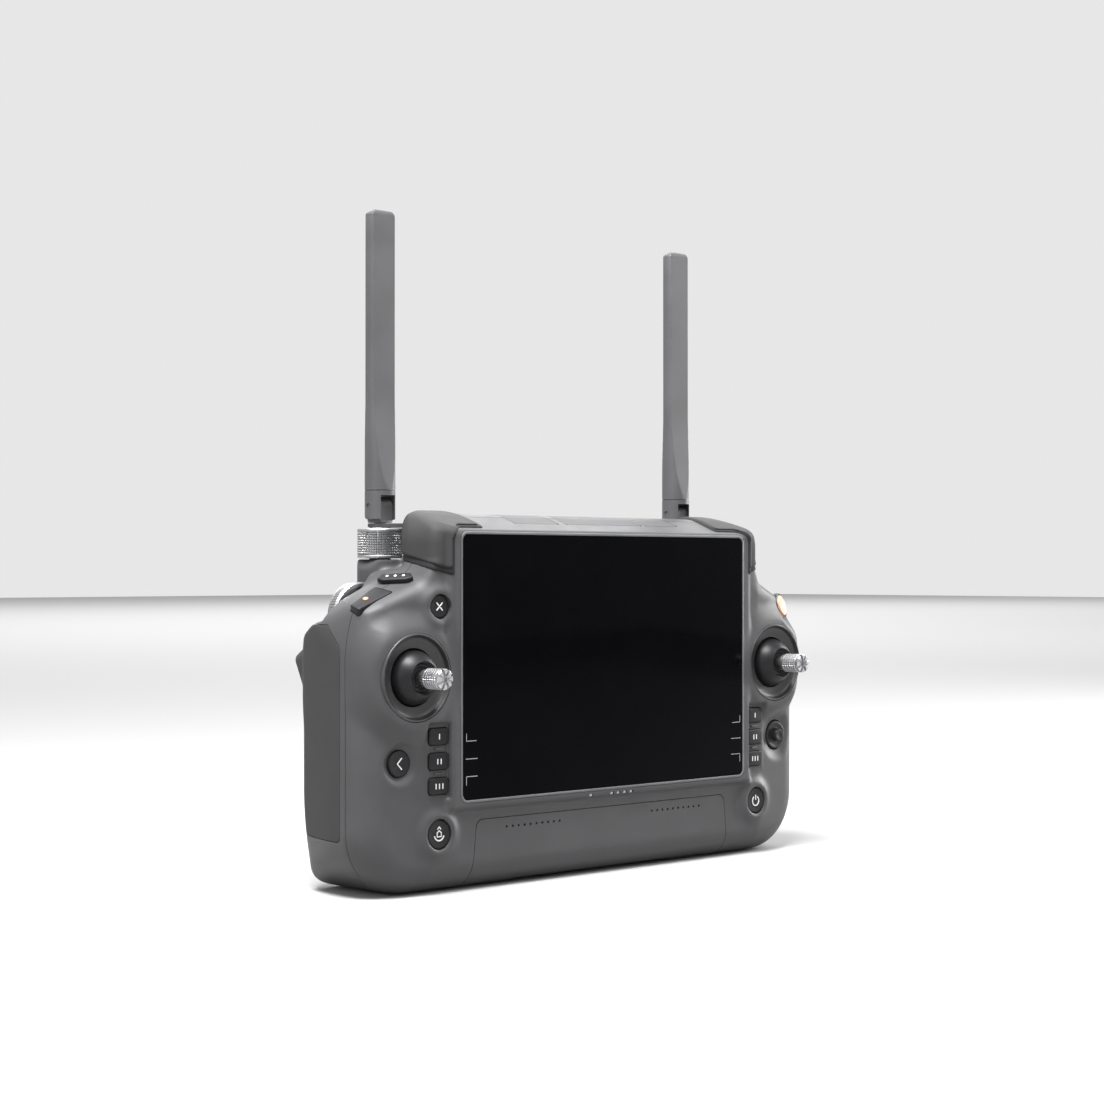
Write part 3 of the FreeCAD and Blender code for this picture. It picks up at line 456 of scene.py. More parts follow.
SHELL = finish("moulded_shell", (0.042, 0.042, 0.044), 0.50, bump=0.55, depth=0.00009, wear_and_highlight=0.18,
               specular=0.28)
GRIP = finish("grip_rubber", (0.030, 0.030, 0.031), 0.78, grain=1900.0, bump=0.5, depth=0.0001,
              specular=0.22)
BUMPER = finish("bumper_rubber", (0.028, 0.028, 0.028), 0.72, grain=1500.0, bump=0.35, specular=0.22)
LIP = finish("bumper_lip_rubber", (0.009, 0.009, 0.010), 0.65, grain=1500.0, specular=0.2)
FLAP = finish("port_cover_rubber", (0.043, 0.043, 0.045), 0.62, grain=1900.0, bump=0.4, specular=0.35)
BEZEL_METAL = finish("brushed_bezel", (0.10, 0.10, 0.105), 0.48, metal=0.55, grain=3200.0, bump=0.15)
GLASS = finish("cover_glass", (0.0014, 0.0014, 0.0019), 0.07, spread=0.2, grain=700.0, bump=0.0, wear_and_highlight=0.0,
               specular=0.02, rough_spread=0.02)
MARK = finish("printed_mark", (0.22, 0.22, 0.22), 0.5, bump=0.1, wear_and_highlight=0.0)
ICON = glowing(finish("printed_icon", (0.52, 0.52, 0.52), 0.5, bump=0.1, wear_and_highlight=0.0), 0.05, (1.0, 1.0, 1.0))
BUTTON = finish("button_plastic", (0.009, 0.009, 0.010), 0.5, specular=0.2, bump=0.4, wear_and_highlight=0.35)
DARK = finish("dark_plastic", (0.008, 0.008, 0.009), 0.5, specular=0.3, bump=0.3, wear_and_highlight=0.3)
DOME = finish("dome_plastic", (0.006, 0.006, 0.007), 0.42, specular=0.22, bump=0.2, depth=0.00004, wear_and_highlight=0.2)
# the strong edge value paints a highlight on the ring's rim as well as wear
RING = finish("gimbal_ring_plastic", (0.020, 0.020, 0.021), 0.42, specular=0.45, bump=0.3, wear_and_highlight=0.6)
BOOT = finish("boot_rubber", (0.010, 0.010, 0.010), 0.7, bump=0.3)
METAL = finish("knurled_aluminium", (0.44, 0.44, 0.45), 0.36, metal=1.0, spread=0.1, bump=0.15, wear_and_highlight=0.3)
# the strong edge value paints pale knurl ridges, partly wear and partly a painted highlight
DIAL_METAL = finish("dark_knurled_aluminium", (0.30, 0.30, 0.305), 0.42, metal=1.0, spread=0.1,
                    bump=0.15, wear_and_highlight=0.8)
STEEL = finish("plain_steel", (0.42, 0.42, 0.43), 0.33, metal=1.0, spread=0.1, bump=0.15)
ORANGE = finish("orange_plastic", (0.62, 0.19, 0.09), 0.45, bump=0.15, wear_and_highlight=0.1)
# painted glow: a faint emission brightens the orange plastic, which is no lamp
glowing(ORANGE, 0.05, (0.9, 0.32, 0.18))
ANTENNA = finish("antenna_plastic", (0.051, 0.050, 0.053), 0.5, bump=0.45, depth=0.00008, wear_and_highlight=0.2)
BOARD = finish("board_green", (0.02, 0.07, 0.035), 0.5)
WRAP = finish("battery_wrap", (0.03, 0.035, 0.05), 0.45)
SOCKET = finish("socket_steel", (0.5, 0.5, 0.5), 0.3, metal=1.0)
WINDOW = glowing(finish("light_window", (0.45, 0.45, 0.45), 0.4, wear_and_highlight=0.0), 0.1, (1.0, 1.0, 1.0))


def fit(obj, body, material, slot, *nodes):
    """Finishes a piece: its material, the body it rides on and the CAD nodes it stands for; the slot argument
    is not used.
    """
    obj.data.materials.clear()
    obj.data.materials.append(material)
    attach(obj, body)
    if nodes:
        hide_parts(*nodes)
    return obj


# ---- where things are -----------------------------------------------------------------------------
ROUND = {  # X, depth of the face, Z and radius
    "back_button": (-115.2, 4.8, 53.7, 5.4),
    "home_button": (-97.0, 1.7, 24.3, 6.0),
    "power_button": (97.0, 1.7, 24.3, 6.0),
    "function_button": (-96.6, 2.0, 116.5, 4.9),
}
KEYS = {  # X, Z and number
    f"{side}_key_{row + 2}": (sign * KEY_X, KEY_Z - row * KEY_PITCH, row + 2)
    for side, sign in SIDES.items()
    for row in (-1, 0, 1)
}
FIVE_X, FIVE_Z, FIVE_R = 115.2, 53.7, 6.6
SOUND_HOLES, SOUND_PITCH, SOUND_X, SOUND_Z = 10, 3.4, 28.4, 24.5
REAR_BUTTON_X, REAR_BUTTON_Z = 91.0, 80.0
BAY = 36.0  # side of the square bay behind each stick
SHOULDER = {  # centre of the outer face, outward direction and long direction
    "pause_button": ((-122.6, 15.0, 120.2), (-0.45, -0.30, 1.0), (1.0, -0.15, 0.45)),
    "mode_slider": ((-108.3, 16.0, 128.4), (-0.45, -0.30, 1.0), (1.0, -1.25, 0.05)),
    "record_button": (RECORD_AT, RECORD_OUT, (0.0, 0.4, 0.9)),
}
PAUSE_SHAPE = [(-9.0, -4.4, 1.2), (9.3, -3.4, 1.4), (7.2, 6.0, 1.6), (-8.8, 1.6, 1.2)]
SLIDER_HALF = [(5.0, -2.8, 1.2), (7.6, -1.2, 0.8), (6.0, 2.6, 1.0)]
PAD_ZONE = [  # side view of the grip pads: Y, Z and corner radius
    (20.0, 22.4, 3.0),
    (90.0, 22.4, 0.0),
    (90.0, 109.0, 0.0),
    (32.0, 109.0, 3.0),
    (20.0, 100.0, 4.0),
]
PORTS = {"left": (-48.0, -22.5), "middle": (-18.0, 29.0), "right": (31.5, 52.0)}
LIGHTS, LIGHT_Z = (-11.8, 0.9, 4.9, 8.9, 12.9), 34.4
SCREWS = [(s * x, z) for s in (-1, 1) for x, z in ((66.0, 12.0), (66.0, 112.0))]
INSERTS = [(s * 22.0, z) for s in (-1, 1) for z in (12.5, 141.0)]
VENTS = (118.0, 122.5, 127.0, 131.5)
GAP = 0.25


def turned(name, obj):
    """A mesh drawn facing +Z with its face at zero, moved to that shoulder control's place."""
    point, outward_way, along = (Vector(v) for v in SHOULDER[name])
    z = outward_way.normalized()
    y = z.cross(along).normalized()
    x = y.cross(z)
    turn = np.array([x, y, z]).T
    co = np.empty(len(obj.data.vertices) * 3)
    obj.data.vertices.foreach_get("co", co)
    co = co.reshape(-1, 3) * 1000
    co[:, 1] -= GLASS_Y * 1000
    obj.data.vertices.foreach_set("co", put(co @ turn.T + np.array(point)).ravel())
    obj.data.update()
    return obj


def block(x0, x1, y0, y1, z0, z1):
    return prism("block", "xy", [(x0, y0, 0), (x1, y0, 0), (x1, y1, 0), (x0, y1, 0)], z0, z1)


def rod(axis, radius, start, end, at, steps=48):
    """Plain round bar used for holes, along an axis, through its other two coordinates."""
    x, y, z = {"x": (0, at[0], at[1]), "y": (at[0], 0, at[1]), "z": (at[0], at[1], 0)}[axis]
    return lathe("rod", [(radius, start), (radius, end)], about(axis, x, y, z), steps)


def both(make):
    """make(side) for the left and right sides."""
    return [make(side) for side in SIDES.values()]


def grown(points, centre, d):
    """Corner points moved out from a centre by about d on both axes."""
    u0, v0 = centre
    return [(u + math.copysign(d, u - u0), v + math.copysign(d, v - v0), r) for u, v, r in points]


# ---- the case pieces ------------------------------------------------------------------------------
LOW, HIGH = (-136.0, -3.0, -2.0), (136.0, 80.0, 158.0)
case = surface("case", sample(case_field, LOW, HIGH, VOXEL), LOW, VOXEL)


def chin_zone(grow, back):
    half, low = CHIN_HALF + grow, 79.0 + grow
    outline = [(low, -4.0, 0), (half, CHIN_TOP + grow, 3.5), (-half, CHIN_TOP + grow, 3.5), (-low, -4.0, 0)]
    return prism("zone", "xz", outline, -6.0, back)


def shoulder_holes():
    holes = [turned("pause_button", prism("hole", "xy", grown(PAUSE_SHAPE, (0, 0), GAP), -7, 4))]
    holes.append(turned("mode_slider", prism("hole", "xy", rectangle(12.0, 3.6, 1.7), -8, 4)))
    holes.append(turned("record_button", rod("z", 5.0 + GAP, -8, 12, (0, 0))))
    return holes


def stick_bays(low, high):
    """Square bays for the gimbal housings."""
    return both(lambda s: prism("bay", "xz", rectangle(BAY, BAY, 1.0, s * STICK_X, STICK_Z), low, high))


def wheel_pocket(s):
    return rod("y", WHEEL_R + 0.6, WHEEL_Y0 - 0.5, WHEEL_Y1 + 0.5, (s * WHEEL_X, WHEEL_Z), 96)


def port_cuts(obj):
    boolean(obj, block(-58.1, 58.1, 6.4, 27.6, 143.9, 148.3))
    wells = [block(x0 - GAP, x1 + GAP, 9.6 - GAP, 26.0 + GAP, 148.31, 170.0) for x0, x1 in PORTS.values()]
    return boolean(obj, join(wells))


def make_front():
    front = copy_of(case, "front_shell_skin")
    boolean(front, block(-200, 200, PART_Y - SEAM, 120, -50, 250))
    chin = copy_of(front, "chin_panel")
    boolean(chin, chin_zone(0.0, 15.0), "INTERSECT")
    boolean(front, chin_zone(2 * SEAM, 15.0 + SEAM))
    w, h = KEY_W + 2 * GAP, KEY_H + 2 * GAP
    holes = [prism("hole", "xz", rectangle(w, h, 1.7, x, z), -3, 8) for x, z, _ in KEYS.values()]
    holes += both(lambda s: rod("y", 18.0, -4, 9.6, (s * STICK_X, STICK_Z), 96))
    holes += [rod("y", r + GAP, -4, 14, (x, z), 64) for x, _, z, r in ROUND.values()]
    holes.append(rod("y", FIVE_R + 0.6, -4, 16.0, (FIVE_X, FIVE_Z), 64))
    frame_w, frame_h = GLASS_W + 2 * BEZEL + 0.2, GLASS_H + 2 * BEZEL + 0.2
    holes.append(prism("pocket", "xz", rectangle(frame_w, frame_h, 3.8, 0, GLASS_Z), -3, 4.0))
    holes += [prism("slit", "xz", rectangle(2.3, 1.2, 0.45, x, LIGHT_Z), -3, 7) for x in LIGHTS]
    boolean(front, join(holes))
    boolean(front, join(stick_bays(9.6, 20.0)))
    boolean(front, join(shoulder_holes()))
    port_cuts(front)
    across = [s * (SOUND_X + SOUND_PITCH * i) for s in (-1, 1) for i in range(SOUND_HOLES)]
    boolean(chin, join([rod("y", 0.55, -3, 14, (x, SOUND_Z), 16) for x in across]))
    fit(smooth(front), "case", SHELL, "shell_plastic", "front_shell")
    fit(smooth(chin), "case", SHELL, "shell_plastic", "chin_cover")


def skin(name, low, high, thick, level=0.0, voxel=0.6):
    """A layer of the case's own skin inside a small box."""
    def layer(x, y, z):
        f = case_field(x, y, z)
        return np.maximum(f - level, -(f + thick))
    return surface(name, sample(layer, low, high, voxel), low, voxel)


def make_rear():
    rear = copy_of(case, "rear_shell_skin")
    boolean(rear, block(-200, 200, -50, PART_Y + SEAM, -50, 250))
    for s, side in ((-1, "left"), (1, "right")):
        low = (99.0, 16.0, 18.0) if s > 0 else (-136.0, 16.0, 18.0)
        high = (136.0, 82.0, 112.0) if s > 0 else (-99.0, 82.0, 112.0)
        bed = skin("bed", low, high, 1.9, 2.0)
        x0, x1 = (99.9, 140) if s > 0 else (-140, -99.9)
        boolean(bed, prism("zone", "yz", grown(PAD_ZONE, (50, 60), 2 * SEAM), x0, x1), "INTERSECT")
        boolean(rear, bed)
        pad = skin(f"{side}_grip_pad_rubber", low, high, 1.7)
        x0, x1 = (100.2, 140) if s > 0 else (-140, -100.2)
        boolean(pad, prism("zone", "yz", PAD_ZONE, x0, x1), "INTERSECT")
        boolean(pad, wheel_pocket(s))
        fit(smooth(pad), "case", GRIP, "grip_rubber", f"{side}_grip_pad")
    cuts = both(wheel_pocket)
    cuts += both(lambda s: rod("z", DIAL_R + 0.6, POST_Z, 170, (s * ANT_X, ANT_Y), 96))
    cuts += both(lambda s: rod("y", 5.25, 51.0, 90, (s * REAR_BUTTON_X, REAR_BUTTON_Z), 64))
    cuts += [rod("y", 2.1, BACK_Y - 7, 70, xz, 32) for xz in INSERTS]
    cuts += [rod("y", 2.9, 49.0, 70, xz, 32) for xz in SCREWS]
    cuts += [block(-46, 46, 46.05, 70, z, z + 2.2) for z in VENTS]
    door = [(-59.25, 25.75, 0), (59.25, 25.75, 0), (59.25, 104.25, 3.0), (-59.25, 104.25, 3.0)]
    cuts.append(prism("door", "xz", door, 47.5, 70))
    cuts.append(block(-9.25, 9.25, 48.8, 70, 106.2, 113.4))
    boolean(rear, join(cuts))
    inner = both(lambda s: rod("z", 4.6, 123.9, POST_Z + 0.5, (s * ANT_X, ANT_Y)))
    inner += both(lambda s: rod("y", 2.1, 32.9, WHEEL_Y0, (s * WHEEL_X, WHEEL_Z)))
    inner += stick_bays(10.0, 25.0)
    inner.append(prism("bay", "xz", rectangle(109.0, 63.0, 4.0, 0, 66.0), 21.5, 47.6))
    inner.append(block(-41.0, 42.2, 35.5, 46.1, 113.5, 134.5))
    inner.append(block(-3.3, 3.3, 48.5, 70, 104.0, 106.4))
    inner.append(rod("y", FIVE_R + 0.6, 14.0, 17.5, (FIVE_X, FIVE_Z), 64))
    boolean(rear, join(inner))
    boolean(rear, join(shoulder_holes()))
    port_cuts(rear)
    fit(smooth(rear), "case", SHELL, "shell_plastic", "rear_shell")


def make_port_covers():
    for side, (x0, x1) in PORTS.items():
        flap = skin(f"port_cover_{side}_flap", (x0 - 2, 7.0, 140.0), (x1 + 2, 29.0, 158.0), 1.6)
        middle = ((x0 + x1) / 2, 17.8)
        boolean(flap, prism("zone", "xy", rectangle(x1 - x0, 16.4, 1.5, *middle), 130, 170), "INTERSECT")
        fit(smooth(flap), f"port_cover_{side}", FLAP, "bumper_rubber", f"port_cover_{side}")


def bumper_layer(down, inward, raised):
    """Field of one bumper: the case's skin thickened inside its corner zone."""
    def layer(x, y, z):
        ax = np.abs(x)
        f = case_field(x, y, z)
        zone = 131.6 + 0.2 * (ax - 89.5) + 0.2 * (y - 2) - z - down
        rect = 7.3 - inward - np.hypot(np.maximum(ax - 84.0, 0), np.maximum(z - 142.6, 0))
        zone = meet(zone, np.minimum(rect, 9.0 - y), 1.6)
        zone = meet(zone, plane(ax, z, (72 - inward, 150), (-12.0, 4.0)), 2.0)
        zone = meet(zone, y - 30.0 - down / 3, 0.8)
        return meet(meet(f - raised, zone, 0.9), -(f + 1.2), 0.3)
    return layer


def make_bumpers():
    for s, side in ((-1, "left"), (1, "right")):
        low = (60.0, -4.0, 126.0) if s > 0 else (-106.0, -4.0, 126.0)
        high = (106.0, 33.0, 160.0) if s > 0 else (-60.0, 33.0, 160.0)
        body = surface(f"{side}_bumper_body", sample(bumper_layer(0.0, 0.0, 1.3), low, high, 0.5), low, 0.5)
        fit(smooth(body, 40), "case", BUMPER, "bumper_rubber", f"{side}_bumper")
        lip = surface(f"{side}_bumper_lip", sample(bumper_layer(2.6, 1.2, 0.6), low, high, 0.5), low, 0.5)
        fit(smooth(lip, 40), "case", LIP, "bumper_rubber")


# ---- screen ---------------------------------------------------------------------------------------
def hoop(name, rings):
    """Closed band through rings, the last joined to the first."""
    n, m = len(rings[0]), len(rings)
    faces = []
    for k in range(m):
        for i in range(n):
            j, q = (i + 1) % n, (k + 1) % m
            faces.append((k * n + i, k * n + j, q * n + j, q * n + i))
    return outward(piece(name, [p for ring in rings for p in ring], faces))


def round_ring(r, h, steps=64):
    """Points round the Z axis at one radius and height."""
    angles = [2 * math.pi * k / steps for k in range(steps)]
    return [(r * math.cos(a), r * math.sin(a), h) for a in angles]


def stroke(points, width, low, high, closed=False, plane_name="xz"):
    """Flat ribbon of even width along 2-D points, as a thin solid."""
    n = len(points)
    left, right = [], []
    for i in range(n):
        a = Vector(points[i - 1] if (i or closed) else points[0])
        b = Vector(points[(i + 1) % n] if (i < n - 1 or closed) else points[-1])
        way = (b - a).normalized()
        side = Vector((-way.y, way.x)) * width / 2
        left.append(tuple(Vector(points[i]) + side))
        right.append(tuple(Vector(points[i]) - side))
    rings = [
        stand(plane_name, left, low), stand(plane_name, right, low),
        stand(plane_name, right, high), stand(plane_name, left, high),
    ]
    faces, flat = [], [p for ring in rings for p in ring]
    for k in range(4):
        for i in range(n if closed else n - 1):
            j, q = (i + 1) % n, (k + 1) % 4
            faces.append((k * n + i, k * n + j, q * n + j, q * n + i))
    if not closed:
        faces.append((0, n, 2 * n, 3 * n))
        faces.append((n - 1, 2 * n - 1, 3 * n - 1, 4 * n - 1))
    return outward(piece("stroke", flat, faces))


def arc(u, v, radius, start, end, steps=16):
    out = []
    for k in range(steps + 1):
        t = math.radians(start + (end - start) * k / steps)
        out.append((u + radius * math.cos(t), v + radius * math.sin(t)))
    return out


def label(name, parts, body, material=None, slot="light_window"):
    obj = join(parts)
    obj.name = name
    return fit(obj, body, material or ICON, slot)


def make_screen():
    def ring(inset, y, radius):
        size = rectangle(GLASS_W + 2 * inset, GLASS_H + 2 * inset, radius, 0, GLASS_Z)
        return stand("xz", rounded(size, 8), y)
    outer = [ring(1.2, 3.9, 3.8), ring(1.2, 0.25, 3.8), ring(1.05, -0.05, 3.65), ring(0.8, -0.15, 3.4)]
    lip = [ring(0.3, -0.15, 2.9), ring(0.08, 0.05, 2.68), ring(0.06, 1.15, 2.66)]
    ledge = [ring(-4.0, 1.2, 2.0), ring(-4.0, 3.9, 2.0)]
    rings = outer + lip + ledge
    fit(smooth(hoop("screen_frame", rings), 40), "case", BEZEL_METAL, "bezel_metal", "screen_bezel")
    pane = rectangle(GLASS_W, GLASS_H, 2.6, 0, GLASS_Z)
    glass = cushion("screen_glass_pane", "xz", pane, (0, GLASS_Z), 0.0, 1.1, 0.35)
    fit(glass, "case", GLASS, "cover_glass", "screen_glass")
    marks = []
    upper = [(83.9, 64.5), (83.9, 61.4), (78.5, 61.4)]
    middle = [(84.3, 54.1), (77.9, 54.1)]
    lower = [(83.9, 43.3), (83.9, 46.9), (77.9, 46.9)]
    for s in (-1, 1):
        for points in (upper, middle, lower):
            for a, b in zip(points, points[1:]):
                marks.append(stroke([(s * a[0], a[1]), (s * b[0], b[1])], 0.28, -0.03, 0.2))
    label("screen_marks", marks, "case", MARK, "cover_glass")
    lights = []
    for x in LIGHTS:
        lens = rectangle(2.2, 1.1, 0.45, x, LIGHT_Z)
        lights.append(cushion("lens", "xz", lens, (x, LIGHT_Z), 1.0, 6.0, 0.15))
    fit(join(lights), "case", WINDOW, "light_window", "status_lights").name = "status_light_lenses"


# ---- front controls -------------------------------------------------------------------------------
def make_buttons():
    for name, (x, z, count) in KEYS.items():
        cap = cushion(name + "_cap", "xz", rectangle(KEY_W, KEY_H, 1.5, x, z), (x, z), KEY_Y, 6.2, 0.7)
        fit(cap, name, BUTTON, "button_plastic", name)
        across = [x + 0.9 * (2 * i - count + 1) for i in range(count)]
        ticks = [stroke([(u, z - 1.1), (u, z + 1.1)], 0.55, KEY_Y - 0.05, KEY_Y + 0.3) for u in across]
        label(name + "_ticks", ticks, name)
    bars = []
    for s in (-1, 1):
        for k in (-0.5, 0.5):
            z = KEY_Z + k * KEY_PITCH
            bar = rectangle(4.2, 0.9, 0.4, s * KEY_X, z)
            bars.append(cushion("bar", "xz", bar, (s * KEY_X, z), 2.15, 4.5, 0.3))
    fit(join(bars), "case", SHELL, "shell_plastic").name = "key_divider_bars"
    icons = {  # strokes of each icon: points, width and whether it closes
        "back_button": [([(1.1, 2.3), (-1.2, 0), (1.1, -2.3)], 0.5, False)],
        "home_button": [
            ([(-0.9, 2.1), (0, 3.1), (0.9, 2.1)], 0.5, False),
            (arc(0, 0.1, 2.6, 195, 345), 0.5, False),
            ([(-1.1, -0.9), (-1.1, 0.7), (0, 1.5), (1.1, 0.7), (1.1, -0.9)], 0.45, True),
        ],
        "power_button": [
            (arc(0, -0.2, 2.2, 125, 415, 24), 0.5, False),
            ([(0, 0.2), (0, 2.6)], 0.5, False),
        ],
        "function_button": [
            ([(-1.6, -1.6), (1.6, 1.6)], 0.45, False),
            ([(-1.6, 1.6), (-0.35, 0.35)], 0.45, False),
            ([(0.35, -0.35), (1.6, -1.6)], 0.45, False),
        ],
    }
    for name, (x, face, z, r) in ROUND.items():
        profile = [(r, 9.5), (r, face + 0.7), (r - 0.2, face + 0.25), (r - 0.65, face)]
        profile += [(r - 1.3, face + 0.05), (r * 0.5, face + 0.22), (0.05, face + 0.25)]
        cap = smooth(lathe(name + "_cap", profile, about("y", x, 0, z), 64))
        fit(cap, name, BUTTON, "button_plastic", name)
        parts = []
        for points, width, closed in icons[name]:
            points = [(x + u, z + v) for u, v in points]
            parts.append(stroke(points, width, face + 0.02, face + 0.5, closed))
        label(name + "_icon", parts, name)
    dish = [(1.2, 11.5), (1.2, 7.4), (6.4, 7.4), (6.6, 7.0), (6.6, 5.9), (6.3, 5.35), (5.6, 5.2), (4.2, 5.75)]
    knob = [(3.3, 5.6), (2.95, 5.0), (2.9, 3.3), (2.6, 2.8), (2.1, 2.7), (1.2, 3.0), (0.05, 3.15)]
    profile = dish + knob
    cap = smooth(lathe("five_way_cap_top", profile, about("y", FIVE_X, 0, FIVE_Z), 64))
    fit(cap, "five_way_cap", DARK, "button_plastic", "five_way_cap")


def make_shoulder():
    cap = turned("pause_button", cushion("pause_button_cap", "xy", PAUSE_SHAPE, (0, 0), 0.0, -5.0, 0.6))
    fit(cap, "pause_button", BUTTON, "button_plastic", "pause_button")
    profile = [(1.1, -0.2), (1.1, 0.15), (0.8, 0.3), (0.05, 0.33)]
    dot = lathe("pause_button_dot", profile, about("z", -1.5, 0.6, 0), 32)
    fit(smooth(turned("pause_button", dot)), "pause_button", ORANGE, "record_orange")
    outline = [(-u, v, r) for u, v, r in reversed(SLIDER_HALF)] + SLIDER_HALF
    grip = turned("mode_slider", cushion("mode_slider_grip", "xy", outline, (0, 0), 0.6, -1.2, 0.6))
    fit(grip, "mode_slider", BUTTON, "button_plastic", "mode_slider")
    stem = turned("mode_slider", prism("mode_slider_stem", "xy", rectangle(5.4, 2.8, 1.0), -6.0, -1.2))
    fit(stem, "mode_slider", DARK, "button_plastic")
    profile = [(0.62, 0.3), (0.62, 0.62), (0.45, 0.74), (0.05, 0.78)]
    pips = [lathe("pip", profile, about("z", u, 0.2, 0), 24) for u in (-3.4, 0.0, 3.4)]
    pips = turned("mode_slider", join(pips))
    pips.name = "mode_slider_pips"
    fit(smooth(pips), "mode_slider", ICON, "light_window")
    profile = [(5.0, -5.5), (5.0, -0.7), (4.75, -0.2), (4.2, 0.0), (3.4, -0.1), (2.0, -0.45), (0.05, -0.6)]
    button = turned("record_button", lathe("record_button_cap", profile, about("z"), 64))
    fit(smooth(button), "record_button", ORANGE, "record_orange", "record_button")
    profile = [(5.35, -3.5), (5.35, -1.0), (5.6, -0.6), (6.1, -0.7), (6.4, -1.3), (6.4, -3.5)]
    sleeve = hoop("record_button_sleeve", [round_ring(r, h) for r, h in profile])
    fit(smooth(turned("record_button", sleeve)), "case", DARK, "shell_plastic")


# ---- sticks ---------------------------------------------------------------------------------------
def grid_groove(columns, rows, low, high, depth):
    """Knurling: shallow grooves along and round a turned part between two heights."""
    def ripple(_, h, a):
        if h < low or h > high:
            return 0.0
        u = abs(math.sin(columns * a / 2))
        v = abs(math.sin(math.pi * rows * (h - low) / (high - low)))
        return depth * (1 - min(1.0, 2.2 * u) * min(1.0, 2.2 * v))
    return ripple


def steps_between(low, high, count):
    return [low + (high - low) * k / count for k in range(count + 1)]


def stand_ring(r, h, x, z, steps=96):
    """Points round a Y axis at one radius and depth."""
    angles = [2 * math.pi * i / steps for i in range(steps)]
    return [(x + r * math.cos(a), h, z + r * math.sin(a)) for a in angles]


def sphere_arc(r, start, end, count):
    """Radius and depth along a sphere about the stick's pivot, between two angles in degrees."""
    angles = steps_between(math.radians(start), math.radians(end), count)
    return [(r * math.sin(t), PIVOT_Y - r * math.cos(t)) for t in angles]


def make_stick(s, side):
    x, z = s * STICK_X, STICK_Z
    collar = [(17.9, 9.4), (17.9, 1.0), (17.75, 0.55), (17.45, 0.36), (17.05, 0.42), (16.8, 0.85), (16.5, 1.8)]
    dish = [(15.9, 2.5), (14.6, 2.9), (12.6, 3.1), (11.9, 3.2), (11.8, 3.9), (16.5, 4.2), (16.6, 9.4)]
    ring = hoop(f"{side}_gimbal_ring", [stand_ring(r, h, x, z) for r, h in collar + dish])
    fit(smooth(ring, 40), "case", RING, "dome_plastic", f"{side}_gimbal_housing")
    body = f"{side}_stick"
    wall = sphere_arc(DOME_R, 37, 96, 24) + sphere_arc(DOME_R - 1.1, 96, 42, 12)
    dome = [stand_ring(r, h, x, z) for r, h in wall]
    fit(smooth(hoop(f"{side}_dust_dome", dome), 50), body, DOME, "dome_plastic", f"{side}_dome")
    bellows = [(3.05, -4.9), (3.05, -6.5), (3.8, -6.9), (4.4, -6.3), (5.0, -7.1), (5.5, -7.4)]
    bellows += [(5.9, -6.9), (6.4, -7.9), (6.8, -8.5), (7.0, -8.3), (7.0, -7.7), (5.0, -5.6)]
    boot = [stand_ring(r, PIVOT_Y + h, x, z) for r, h in bellows]
    fit(smooth(hoop(f"{side}_stick_boot", boot), 60), body, BOOT, "dome_plastic")
    profile = [(0.05, 0.2), (3.0, 0.2), (3.0, -4.3), (2.7, -4.6), (2.7, -8.9), (0.05, -8.95)]
    shaft = lathe(f"{side}_stick_stem", profile, about("y", x, 0, z), 32)
    fit(smooth(shaft), body, STEEL, "steel", f"{side}_stick_shaft")
    low, high = TIP_Y + 2.2, TIP_Y + 10.4
    profile = [(0.05, TIP_Y), (3.7, TIP_Y), (CAP_R, TIP_Y + 0.5), (CAP_R, TIP_Y + 1.5), (3.85, TIP_Y + 1.75)]
    profile += [(CAP_R, h) for h in steps_between(low, high, 36)]
    profile += [(3.9, TIP_Y + 10.7), (3.6, TIP_Y + 12.15), (0.05, TIP_Y + 12.2)]
    groove = grid_groove(26, 6, low, high, 0.38)
    cap = lathe(f"{side}_stick_cap_knurled", profile, about("y", x, 0, z), 26 * 6, groove)
    for k in range(4):
        angle = math.pi * k / 4 + math.pi / 8
        u, v = math.cos(angle), math.sin(angle)
        ends = [(x - 6 * u, z - 6 * v), (x + 6 * u, z + 6 * v)]
        boolean(cap, stroke(ends, 1.15, TIP_Y - 1.0, TIP_Y + 1.3))
    boolean(cap, lathe("bore", [(1.9, TIP_Y - 1), (1.9, TIP_Y + 2.2)], about("y", x, 0, z), 32))
    fit(smooth(cap), body, METAL, "knurled_metal", f"{side}_stick_cap")


# ---- dials, wheels, antennas ----------------------------------------------------------------------
def make_dial(s, side):
    x = s * ANT_X
    low, high = DIAL_Z0 + 1.5, DIAL_Z1 - 1.9
    profile = [(4.6, DIAL_Z0), (9.2, DIAL_Z0), (9.6, DIAL_Z0 + 0.5), (9.6, DIAL_Z0 + 1.1)]
    profile += [(DIAL_R, h) for h in steps_between(low, high, 45)]
    profile += [(9.6, DIAL_Z1 - 1.5), (9.6, DIAL_Z1 - 0.6), (9.15, DIAL_Z1 - 0.1)]
    profile += [(8.3, DIAL_Z1), (7.9, DIAL_Z1 - 0.25), (4.6, DIAL_Z1 - 0.25)]
    rings, groove = [], grid_groove(60, 9, low, high, 0.42)
    for r, h in profile:
        rings.append([])
        for i in range(300):
            a = 2 * math.pi * i / 300
            d = r - groove(r, h, a)
            rings[-1].append((x + d * math.cos(a), ANT_Y + d * math.sin(a), h))
    dial = smooth(hoop(f"{side}_dial_knurled", rings))
    fit(dial, f"{side}_dial", DIAL_METAL, "knurled_metal", f"{side}_dial")


